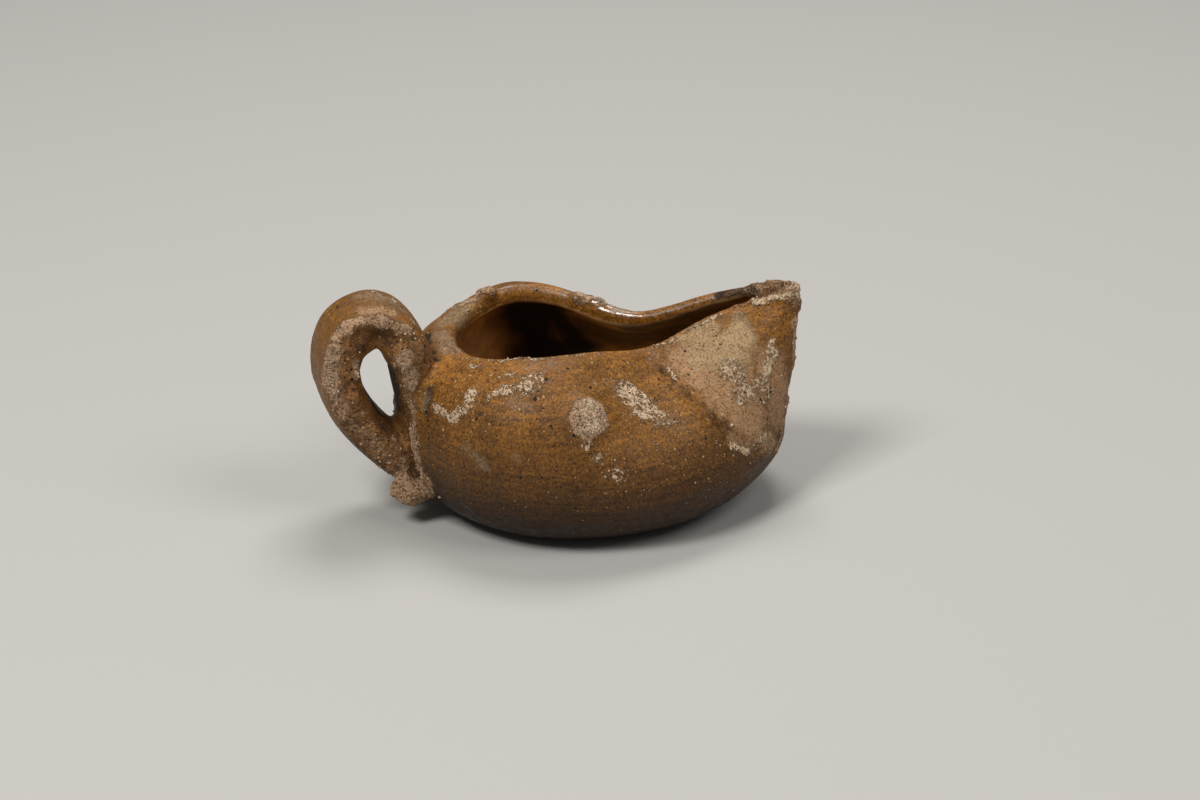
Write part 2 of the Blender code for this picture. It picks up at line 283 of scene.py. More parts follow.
RIM_MARKS: tuple[Mark, ...] = (
    # the nodule and the crumbs stuck beside it
    Mark(CRUST, (-20.5, 19.5, 42.5), (-18.5, 20.2, 42.8), 1.7, 1.0, 2.2),
    Mark(CRUST, (-25.5, 18.5, 41.2), (-22.8, 18.8, 41.6), 2.0, 0.8, 0.3),
    Mark(CRUST, (-29, 17, 39.5), (-26, 19.5, 40.5), 2.0, 0.6, 0.3),
    Mark(PALE, (-31, 8, 40), (-24, 19, 41.5), 5.0, 0.9),
    Mark(PALE, (-32, 2, 39.5), (-30, -9, 40), 3.2, 0.9),
    Mark(CRUST, (-30.5, -3, 40.5), (-28.5, -10, 40.5), 1.8, 0.55, 0.08),
    # crumbs behind the waist of the far rim, and the glints along its lip
    Mark(CRUST, (2, 18, 41.5), (7, 16, 41), 1.8, 0.75, 0.4),
    Mark(LIME, (7, 15.5, 41), (13, 13, 40.5), 1.3, 0.5, 0.2),
    Mark(PALE, (8, 15, 41), (16, 12, 40.5), 2.6, 0.8),
    Mark(GLOSS, (-14, 21, 42.5), (4, 16, 41), 3.4, 0.5),
    Mark(GLOSS, (4, 14.5, 39.5), (18, 8, 38), 4.0, 1.0),
    Mark(GLOSS, (18, 8, 38.5), (34, 5, 43.5), 2.6, 0.6),
    # pale wear along the near lip
    Mark(LIME, (-26.5, -15, 40.8), (-19.5, -21.8, 42.4), 0.7, 0.6),
    Mark(LIME, (-19.5, -21.8, 42.4), (-10.5, -24, 43.5), 0.7, 0.66),
    Mark(LIME, (-10.5, -24, 43.5), (-4, -22.5, 43.3), 0.7, 0.6),
    Mark(LIME, (-4, -22.5, 43.3), (3.5, -18, 42), 0.6, 0.54),
    Mark(LIME, (17, -10.8, 39.9), (24, -8.5, 42), 0.7, 0.6),
    Mark(LIME, (24, -8.5, 42), (32, -6.8, 45.3), 0.7, 0.62),
    Mark(DUST, (-26, -16, 41), (4, -20, 42), 4.0, 0.7),
    Mark(DUST, (-30, 10, 40), (-20, 22, 42), 6.0, 0.9),
    Mark(DUST, (0, 18, 42), (20, 11, 41), 4.0, 0.9),
)
STRAP_MARKS: tuple[Mark, ...] = (
    # bare pink clay on top, and the crusted edge of the near face under it
    Mark(PINK, (-50, -13, 52), (-44, -13, 52), 3.0, 0.85),
    Mark(CRUST, (-57, -17, 46), (-54, -16, 50), 2.4, 0.85, 0.4),
    Mark(CRUST, (-54, -16, 50), (-50, -16, 51), 2.2, 1.0, 0.5),
    Mark(CRUST, (-50, -16, 51), (-45, -15.5, 50.5), 2.0, 1.0, 0.5),
    Mark(CRUST, (-45, -15.5, 50.5), (-40, -14.5, 48), 2.0, 0.85, 0.3),
    Mark(LIME, (-52, -16, 50.7), (-44, -15.5, 50.5), 0.9, 0.46),
    # grey worn skin at the top, flaked along its edge towards the bowl
    Mark(PALE, (-49, -5, 53), (-42, -8, 51), 4.0, 0.8),
    Mark(LIME, (-48, -3, 53), (-43, -6, 52.5), 1.0, 0.46, 0.1),
    Mark(LIME, (-43, -6, 52), (-38.5, -11, 48), 1.0, 0.46, 0.1),
    Mark(LIME, (-38.5, -11, 48), (-36, -13, 42), 0.9, 0.42, 0.05),
    # lumpy crust down the outer edge of the near face, thinner down the lower arm
    Mark(CRUST, (-57, -17.5, 45), (-57.5, -17.5, 37), 3.0, 0.9, 0.5),
    Mark(CRUST, (-57.5, -18, 37), (-55, -17.5, 29), 2.6, 0.66, 0.3),
    Mark(CRUST, (-53.5, -17, 27), (-45, -15, 13.5), 3.6, 0.42, 0.1),
    Mark(LIME, (-57.5, -17.5, 44), (-57.8, -18, 35), 2.0, 0.46, 0.1),
    Mark(CRUST, (-52, -16.5, 42), (-51.5, -16.5, 38), 1.7, 0.85, 0.35),
    Mark(DUST, (-56, -17, 40), (-46, -15, 14), 7.0, 0.9),
    # the recess over the hole, the hole's inner sides and the crotch under it, darkened as painted
    # shade; between the first two a mark of no strength, which only pushes the clay down into the hole
    Mark(SOOT_AND_SHADE, (-50.5, -15.5, 45.5), (-47.5, -14.5, 46.8), 2.2, 0.55, -0.5),
    Mark(SOOT_AND_SHADE, (-47.5, -14.5, 46.8), (-44, -14.5, 46.8), 2.2, 0.55, -0.5),
    Mark(STRAP, (-50, -13.5, 42.5), (-45.5, -13.5, 43), 4.5, 0.0, 0.0, (0.0, 0.0, -2.0)),
    Mark(SOOT_AND_SHADE, (-42.5, -9, 42), (-43, -8, 28), 5.4, 1.0),
    Mark(SOOT_AND_SHADE, (-42.5, -1, 42), (-43, 0, 28), 5.6, 1.0),
    Mark(SOOT_AND_SHADE, (-51, -9, 38), (-47, -8, 27), 3.4, 0.8),
    Mark(SOOT_AND_SHADE, (-47, -13, 27), (-43.5, -12.5, 21), 2.4, 0.6, -0.5),
    # the raised plate on the inner arm, and the gritty ridge under it down to the foot
    Mark(CRUST, (-41, -16, 42.5), (-39.5, -15.5, 34.5), 2.8, 1.0, 0.6),
    Mark(CRUST, (-43.2, -15.5, 42), (-42.8, -15.5, 33), 1.2, 0.9, 0.3),
    Mark(LIME, (-41, -16, 42), (-40, -15.5, 35), 2.2, 0.44),
    Mark(CRUST, (-40.5, -15, 32), (-39.5, -17.5, 21), 2.6, 0.7, 0.3),
    Mark(CRUST, (-39.5, -18, 21), (-36.5, -19.5, 10), 3.2, 0.66, 0.4),
    Mark(CRUST, (-43.5, -13.5, 20), (-41, -15.5, 12), 1.8, 0.6, 0.2),
    Mark(PALE, (-38, -15, 45), (-36, -18, 30), 2.4, 0.8),
    Mark(DUST, (-41, -14, 46), (-38, -19, 14), 5.0, 0.9),
    Mark(BUFF, (-43, -13, 26), (-41, -13, 17), 4.0, 0.8),
    # the squeezed foot
    Mark(CRUST, (-43, -17, 9), (-38, -18, 8), 5.4, 1.0),
    Mark(LIME, (-43, -17.5, 12), (-38, -18, 11.5), 1.2, 0.5, 0.15),
)
HIDDEN_MARKS: tuple[Mark, ...] = (
    # far side, underside and back, plainer
    Mark(LIME, (13, 33, 31), (19, 32, 27), 3.2, 0.6, 0.15),
    Mark(LIME, (-22, 33, 27), (-16, 36, 23), 2.8, 0.56, 0.1),
    Mark(DUST, (-20, 34, 26), (16, 36, 24), 9.0, 0.7),
    Mark(CREAM, (32, 13, 36), (39, 13, 32), 4.0, 0.7, 0.1),
    Mark(PINK, (30, 21, 28), (43, 15, 24), 5.0, 0.65),
    Mark(CRUST, (-42, 4, 22), (-40, 5, 12), 3.5, 0.7, 0.2),
    Mark(LIME, (-59.5, -2, 41), (-60.5, -4, 34), 2.2, 0.5, 0.1),
    Mark(PINK, (-60, -8, 30), (-55, -8, 22), 3.0, 0.6),
    Mark(LIME, (-42, 3, 50), (-52, 2, 51), 1.6, 0.5, 0.1),
    Mark(CRUST, (-8, -10, 0), (8, 8, 0), 8.0, 0.8),
    Mark(LIME, (-6, -8, 0), (8, 6, 0), 6.0, 0.56),
)


# The fold that the pinch left across the near shoulder, from the rim down into the cheek
FOLD: tuple[Point, ...] = (
    (14.5, -14.5, 38.5), (17, -16.5, 36.5), (22, -22, 32.5), (27, -25.5, 28), (34, -25, 22.5),
    (40, -21, 17),
)
# The fold's groove, the ridge beside it, and the hollow beyond
CREASES: tuple[Crease, ...] = (
    Crease(FOLD, 1.0, 1.1),
    Crease(tuple((x + 2.6, y + 0.6, z + 0.8) for x, y, z in FOLD), -0.8, 2.2),
    Crease(((24, -15, 38), (31, -19, 32.5), (38, -18, 26.5)), 1.5, 6.0),
)


def linear(hex_colour: str) -> tuple[float, float, float, float]:
    """Turn an sRGB hex colour into the linear colour that Blender's sockets take.

    Args:
        hex_colour: six hex digits, with or without a leading #.

    Returns:
        Linear red, green, blue and an alpha of 1.
    """
    digits = hex_colour.lstrip("#")
    parts = [int(digits[i:i + 2], 16) / 255 for i in (0, 2, 4)]
    red, green, blue = (c / 12.92 if c <= 0.04045 else ((c + 0.055) / 1.055) ** 2.4 for c in parts)
    return red, green, blue, 1.0


def add_node(tree: NodeTree, kind: str, settings: Optional[dict] = None,
             inputs: Optional[dict] = None) -> Node:
    """Add a node, with its settings, the values of its inputs and the links into them.

    Args:
        tree: the node tree.
        kind: the node's type name.
        settings: the node's own properties.
        inputs: a value, or an output socket to link, for each input by name or number.

    Returns:
        The new node.
    """
    node = tree.nodes.new(kind)
    for name, value in (settings or {}).items():
        setattr(node, name, value)
    for name, value in (inputs or {}).items():
        if isinstance(value, NodeSocket):
            tree.links.new(value, node.inputs[name])
        else:
            node.inputs[name].default_value = value
    return node


def calc(tree: NodeTree, operation: str, *values: NodeSocket | float) -> NodeSocket:
    """Add a Math node with its inputs in order, and return its result's socket."""
    return add_node(tree, "ShaderNodeMath", {"operation": operation}, dict(enumerate(values))).outputs[0]


def spread(tree: NodeTree, value: NodeSocket, low: NodeSocket | float, high: NodeSocket | float,
           to_low: NodeSocket | float = 0.0, to_high: NodeSocket | float = 1.0,
           shape: str = "LINEAR") -> NodeSocket:
    """Add a Map Range node, which clamps.

    Args:
        tree: the node tree.
        value: what is mapped.
        low, high: the range it comes from.
        to_low, to_high: the range it goes to.
        shape: LINEAR or SMOOTHSTEP.

    Returns:
        The result's socket.
    """
    return add_node(tree, "ShaderNodeMapRange", {"interpolation_type": shape}, {
        "Value": value, "From Min": low, "From Max": high, "To Min": to_low, "To Max": to_high}).outputs[0]


def scaled(tree: NodeTree, vector: NodeSocket | tuple, share: NodeSocket | float | tuple) -> NodeSocket:
    """Return a vector or colour scaled by one share, or by one for each axis when three are given."""
    operation, name = ("MULTIPLY", 1) if isinstance(share, tuple) else ("SCALE", "Scale")
    return add_node(tree, "ShaderNodeVectorMath", {"operation": operation},
                    {0: vector, name: share}).outputs[0]


def mixed(tree: NodeTree, share: NodeSocket, low: str, high: str) -> NodeSocket:
    """Return a mix of two hex colours, with the given share of the second."""
    return add_node(tree, "ShaderNodeMix", {"data_type": "RGBA"},
                    {0: share, 6: linear(low), 7: linear(high)}).outputs[2]


def noise_texture(tree: NodeTree, vector: NodeSocket, width: float, detail: float,
                  roughness: float = 0.5, distortion: float = 0.0) -> Node:
    """Add a noise texture.

    Args:
        tree: the node tree.
        vector: where it is taken.
        width: the width of one bump, in the vector's unit.
        detail: how many finer layers it has.
        roughness: how strong the finer layers are.
        distortion: how far it is swirled.

    Returns:
        The node.
    """
    return add_node(tree, "ShaderNodeTexNoise", inputs={
        "Vector": vector, "Scale": 1 / width, "Detail": detail, "Roughness": roughness,
        "Distortion": distortion})


def make_material(name: str) -> Material:
    """Make a material with an empty node tree."""
    material = bpy.data.materials.new(name)
    material.use_nodes = True
    material.node_tree.nodes.clear()
    return material


def shade(tree: NodeTree, inputs: dict) -> None:
    """Add a Principled shader with the given inputs, and the output that it goes to."""
    shader = add_node(tree, "ShaderNodeBsdfPrincipled", inputs=inputs)
    add_node(tree, "ShaderNodeOutputMaterial", inputs={"Surface": shader.outputs[0]})


def new_tree(name: str, sockets: dict[str, str]) -> tuple[NodeTree, Node]:
    """Make a Geometry Nodes tree with named inputs.

    Args:
        name: the tree's name.
        sockets: the kind of each input, by name.

    Returns:
        The tree, and the node that gives out its inputs.
    """
    tree = bpy.data.node_groups.new(name, "GeometryNodeTree")
    for label, kind in sockets.items():
        tree.interface.new_socket(label, in_out="INPUT", socket_type="NodeSocket" + kind)
    tree.interface.new_socket("Geometry", in_out="OUTPUT", socket_type="NodeSocketGeometry")
    return tree, add_node(tree, "NodeGroupInput")


def close_tree(tree: NodeTree, geometry: NodeSocket, material: NodeSocket) -> None:
    """Make a tree's result real and dressed, and give it out."""
    whole = add_node(tree, "GeometryNodeRealizeInstances", inputs={"Geometry": geometry})
    dressed = add_node(tree, "GeometryNodeSetMaterial", inputs={
        "Geometry": whole.outputs[0], "Material": material})
    add_node(tree, "NodeGroupOutput", inputs={0: dressed.outputs[0]})


def make_object(name: str, data: ID) -> Object:
    """Link a mesh, lamp or camera to the scene as an object.

    Args:
        name: the object's name.
        data: what it shows.

    Returns:
        The object, at the origin.
    """
    obj = bpy.data.objects.new(name, data)
    bpy.context.scene.collection.objects.link(obj)
    return obj


def bake(obj: Object, name: str) -> Mesh:
    """Turn an object with modifiers into a plain mesh, and remove the object.

    Args:
        obj: the object to evaluate.
        name: the new mesh's name.

    Returns:
        The plain mesh.
    """
    graph = bpy.context.evaluated_depsgraph_get()
    mesh = bpy.data.meshes.new_from_object(obj.evaluated_get(graph), depsgraph=graph)
    mesh.name = name
    old = obj.data
    bpy.data.objects.remove(obj, do_unlink=True)
    if old.users == 0:
        bpy.data.meshes.remove(old)
    return mesh


def grown(name: str, mesh: Mesh, tree: NodeTree, values: dict) -> Mesh:
    """Run a Geometry Nodes tree on a mesh.

    Args:
        name: the new mesh's name.
        mesh: what the tree starts from.
        tree: the tree.
        values: the values of its inputs, by name.

    Returns:
        The plain mesh.
    """
    obj = make_object(name, mesh)
    modifier = obj.modifiers.new(name, "NODES")
    modifier.node_group = tree
    for item in tree.interface.items_tree:
        if item.name in values and item.in_out == "INPUT":
            modifier[item.identifier] = values[item.name]
    return bake(obj, name)


def face_outwards(mesh: Mesh) -> None:
    """Merge a closed mesh's doubles and point its faces outwards."""
    bm = bmesh.new()
    bm.from_mesh(mesh)
    bmesh.ops.remove_doubles(bm, verts=bm.verts[:], dist=1e-6)
    bmesh.ops.recalc_face_normals(bm, faces=bm.faces[:])
    bm.to_mesh(mesh)
    bm.free()


def coordinates(mesh: Mesh) -> np.ndarray:
    """Return a mesh's points as an array, in metres."""
    flat = np.empty(len(mesh.vertices) * 3)
    mesh.vertices.foreach_get("co", flat)
    return flat.reshape(-1, 3)


def nearest(points: np.ndarray, targets: np.ndarray) -> np.ndarray:
    """Return each point's distance to the closest target.

    Args:
        points: the points to measure from.
        targets: the points to measure to.

    Returns:
        One distance for each point.
    """
    tree = KDTree(len(targets))
    for i, target in enumerate(targets.tolist()):
        tree.insert(target, i)
    tree.balance()
    return np.array([tree.find(point)[2] for point in points.tolist()])


def stroke_distance(points: np.ndarray, start: Sequence[float], end: Sequence[float]) -> np.ndarray:
    """Return each point's distance to a straight stroke.

    Args:
        points: the points to measure from.
        start, end: the stroke's ends.

    Returns:
        One distance for each point.
    """
    start, end = np.array(start, float), np.array(end, float)
    along = end - start
    length = float(along @ along)
    share = np.clip((points - start) @ along / length, 0.0, 1.0) if length > 0 else np.zeros(len(points))
    return np.linalg.norm(points - start - share[:, None] * along, axis=1)


class ClayNoise:
    """Smooth noise in space from a seeded lattice, so that every run gives the same clay."""

    def __init__(self, seed: int, cells: int = 48) -> None:
        """Fill the lattice.

        Args:
            seed: the seed of the lattice's values.
            cells: how many values it has each way before it repeats.
        """
        self.cells = cells
        self.table = np.random.default_rng(seed).uniform(-1.0, 1.0, (cells, cells, cells))

    def at(self, points: np.ndarray, size: float, octaves: int = 1) -> np.ndarray:
        """Return noise between about -1 and 1.

        Args:
            points: where to take it.
            size: the width of one bump, in the points' own unit.
            octaves: how many finer layers are added, each half as wide and half as strong.

        Returns:
            One value for each point.
        """
        total, most = np.zeros(len(points)), 0.0
        for octave in range(octaves):
            spot = points * (2 ** octave / size) + 11.7 * (octave + 1)
            cell = np.floor(spot).astype(int)
            part = spot - cell
            part = part * part * (3.0 - 2.0 * part)
            value = np.zeros(len(points))
            for corner in range(8):
                step = np.array([corner & 1, corner >> 1 & 1, corner >> 2 & 1])
                index = (cell + step) % self.cells
                weight = np.prod(np.where(step == 1, part, 1.0 - part), axis=1)
                value += weight * self.table[index[:, 0], index[:, 1], index[:, 2]]
            total += value * 0.5 ** octave
            most += 0.5 ** octave
        return total / most

    def textured(self, points: np.ndarray, texture: Texture) -> np.ndarray:
        """Return how far a kind of unevenness moves each point."""
        spots = points * texture.stretch + texture.shift
        return self.at(spots, texture.size, texture.octaves) * texture.height


@dataclass
class BowlForm:
    """The thrown bowl with its pinched beak: the same sizes as the solid, more finely cut."""

    base_radius: float = 0.0227
    belly_radius: float = 0.0426
    belly_height: float = 0.0214
    rim_radius: float = 0.0298
    rim_height: float = 0.0433
    wall: float = 0.0043
    floor: float = 0.0056
    low_fullness: float = 2.2
    shoulder_fullness: float = 2.2
    beak_reach: float = 0.0514
    bilge_reach: float = 0.0487
    bilge_height: float = 0.0155
    bilge_fullness: float = 1.8
    beak_wall: float = 0.0031
    slot_gap: float = 0.0040
    tip_clay: float = 0.0085
    tip_bluntness: float = 3.7
    thin_start: float = 0.1
    thin_end: float = 0.6
    pinch_at_rim: float = 0.83
    pinch_at_base: float = 0.02
    pinch_growth: float = 1.4
    pinch_onset: float = 0.25
    pinch_rim_x: float = 0.0031
    pinch_rim_length: float = 0.0100
    pinch_base_x: float = 0.0405
    pinch_base_length: float = 0.0057
    tip_rise: float = 0.0056
    waist_dip: float = 0.0034
    waist_x: float = 0.0138
    waist_length: float = 0.0116
    back_dip: float = 0.0034
    level_share: float = 0.7
    back_start: float = 0.4
    back_full: float = 1.05
    columns_back: int = 110
    columns_front: int = 130
    rows_low: int = 46
    rows_shoulder: int = 42
    rows_lip: int = 11
    rows_floor: int = 14

    def profile(self) -> tuple[np.ndarray, np.ndarray]:
        """Return the outer face's radii and heights, from the base's edge to the rim."""
        low = np.linspace(0.0, math.pi / 2, self.rows_low)
        top = np.linspace(0.0, math.pi / 2, self.rows_shoulder)[1:]
        low_power, top_power = 2 / self.low_fullness, 2 / self.shoulder_fullness
        low_r = self.base_radius + (self.belly_radius - self.base_radius) * np.sin(low) ** low_power
        low_z = self.belly_height * (1.0 - np.cos(low) ** low_power)
        top_r = self.rim_radius + (self.belly_radius - self.rim_radius) * np.cos(top) ** top_power
        top_z = self.belly_height + (self.rim_height - self.belly_height) * np.sin(top) ** top_power
        return np.concatenate([low_r, top_r]), np.concatenate([low_z, top_z])

    def front_reach(self, z: np.ndarray) -> np.ndarray:
        """Return how far the front stands from the axis at each height."""
        low = np.clip(z / self.bilge_height, 0.0, 1.0)
        curve = (1.0 - (1.0 - low) ** self.bilge_fullness) ** (1 / self.bilge_fullness)
        bilge = self.base_radius + (self.bilge_reach - self.base_radius) * curve
        share = (z - self.bilge_height) / (self.rim_height - self.bilge_height)
        return bilge + (self.beak_reach - self.bilge_reach) * ease(share)

    def pinched(self, radius: np.ndarray, angle: np.ndarray, z: np.ndarray) -> np.ndarray:
        """Turn points of the thrown bowl into points of the pulled and pinched one.

        Args:
            radius, angle, z: arrays of one shape, in the bowl's polar coordinates.

        Returns:
            The points, with x, y and z last.
        """
        height = np.clip(z / self.rim_height, 0.0, 1.0)
        blunt = 2.0 + (self.tip_bluntness - 2.0) * height ** 2
        cos, sin = np.cos(angle), np.sin(angle)
        swell = (np.abs(cos) ** blunt + np.abs(sin) ** blunt) ** (-1 / blunt)
        x = np.where(cos > 0.0, self.front_reach(z) * cos * swell, radius * cos)
        sideways = np.where(cos > 0.0, sin * swell, sin)
        centre = self.pinch_base_x + (self.pinch_rim_x - self.pinch_base_x) * height
        length = self.pinch_base_length + (self.pinch_rim_length - self.pinch_base_length) * height
        most = self.pinch_at_base + (self.pinch_at_rim - self.pinch_at_base) * height ** self.pinch_growth
        depth = most * ease(height / self.pinch_onset)
        y = radius * sideways * (1.0 - depth / (1.0 + np.exp(-(x - centre) / length)))
        level = self.level_share * self.belly_height
        lift = self.tip_rise * ease((x - self.waist_x) / (self.beak_reach - self.waist_x))
        dip = self.waist_dip * np.exp(-((x - self.waist_x) / self.waist_length) ** 2)
        behind = (-x / self.rim_radius - self.back_start) / (self.back_full - self.back_start)
        change = lift - dip - self.back_dip * ease(behind)
        return np.stack([x, y, z + ease((z - level) / (self.rim_height - level)) * change], axis=-1)

    def outer_face(self) -> np.ndarray:
        """Return the outer face as rows that run up and columns that run round."""
        side = np.linspace(0.0, 1.0, self.columns_front // 2 + 1) ** 0.75 * math.pi / 2
        back = np.linspace(math.pi / 2, 3 * math.pi / 2, self.columns_back + 1)[1:-1]
        angles = np.concatenate([side, back, 2 * math.pi - side[:0:-1]])
        radii, heights = self.profile()
        radius, angle = np.meshgrid(radii, angles, indexing="ij")
        z = np.broadcast_to(heights[:, None], radius.shape)
        return self.pinched(radius, angle, z)

    def inward(self, face: np.ndarray, share: float) -> np.ndarray:
        """Move the outer face into the clay.

        Args:
            face: the outer face.
            share: how much of the wall to go in by; 1 gives the inner face.

        Returns:
            The moved face, kept over the floor and out of the slot's middle.
        """
        up = np.gradient(face, axis=0)
        along = np.roll(face, -1, axis=1) - np.roll(face, 1, axis=1)
        normal = np.cross(along, up)
        normal /= np.linalg.norm(normal, axis=-1, keepdims=True)
        reach = face[..., 0:1] / self.beak_reach
        thin = ease((reach - self.thin_start) / (self.thin_end - self.thin_start))
        wall = self.wall + (self.beak_wall - self.wall) * thin
        inner = face - normal * wall * share
        inner[..., 0] = np.minimum(inner[..., 0], self.beak_reach - self.tip_clay * share)
        side = np.sign(face[..., 1])
        off_tip = ease(np.abs(face[..., 1]) / self.slot_gap) * ease(face[..., 0] / self.waist_x - 1.0)
        inner[..., 1] = side * np.maximum(side * inner[..., 1], self.slot_gap / 2 * off_tip)
        inner[..., 2] = np.maximum(inner[..., 2], self.floor * share)
        return inner

    def lip(self, face: np.ndarray, inner: np.ndarray) -> list[np.ndarray]:
        """Return the rounded rows between the outer face's edge and the inner one's."""
        middle, half = (face[-1] + inner[-1]) / 2, (face[-1] - inner[-1]) / 2
        towards = face[-1] - face[-2]
        towards /= np.linalg.norm(towards, axis=-1, keepdims=True)
        turns = np.linspace(0.0, math.pi, self.rows_lip + 2)[1:-1]
        return [middle + half * math.cos(a) + towards * math.sin(a) * self.beak_wall / 2 for a in turns]

    def disc(self, edge: np.ndarray) -> list[np.ndarray]:
        """Return rings that shrink from a flat edge towards its middle, largest first."""
        middle = np.array([0.0, 0.0, edge[:, 2].mean()])
        return [middle + (edge - middle) * s for s in np.linspace(1.0, 0.0, self.rows_floor + 1)[1:-1]]

    def skin(self, name: str, rows: list[np.ndarray], first: Point, last: Point) -> Mesh:
        """Make a closed mesh from rings of points.

        Args:
            name: the mesh's name.
            rows: the rings, in order.
            first, last: the points that close the two ends.

        Returns:
            The mesh, with its faces outwards.
        """
        count, total = len(rows[0]), len(rows) * len(rows[0])
        points = np.concatenate(rows).tolist() + [list(first), list(last)]
        i = np.arange(count)
        j = (i + 1) % count
        faces: list[list[int]] = []
        for row in range(len(rows) - 1):
            a = row * count
            faces += np.stack([a + i, a + j, a + count + j, a + count + i], axis=1).tolist()
        faces += np.stack([np.full(count, total), j, i], axis=1).tolist()
        end = (len(rows) - 1) * count
        faces += np.stack([np.full(count, total + 1), end + i, end + j], axis=1).tolist()
        mesh = bpy.data.meshes.new(name)
        mesh.from_pydata(points, [], faces)
        face_outwards(mesh)
        return mesh

    def build(self) -> Mesh:
        """Return the hollow bowl: underside, outer face, lip, inner face and floor."""
        face = self.outer_face()
        inner = self.inward(face, 1.0)
        rows = self.disc(face[0])[::-1] + list(face) + self.lip(face, inner)
        rows += list(inner[::-1]) + self.disc(inner[0])
        return self.skin("bowl", rows, (0.0, 0.0, 0.0), (0.0, 0.0, self.floor))

    def core(self) -> Mesh:
        """Return the solid that fills the bowl to the middle of its wall, to trim the strap with."""
        middle = self.inward(self.outer_face(), 0.5)
        bottom = (0.0, 0.0, float(middle[0, :, 2].mean()))
        top = (0.0, 0.0, float(middle[-1, :, 2].mean()))
        return self.skin("core", list(middle), bottom, top)


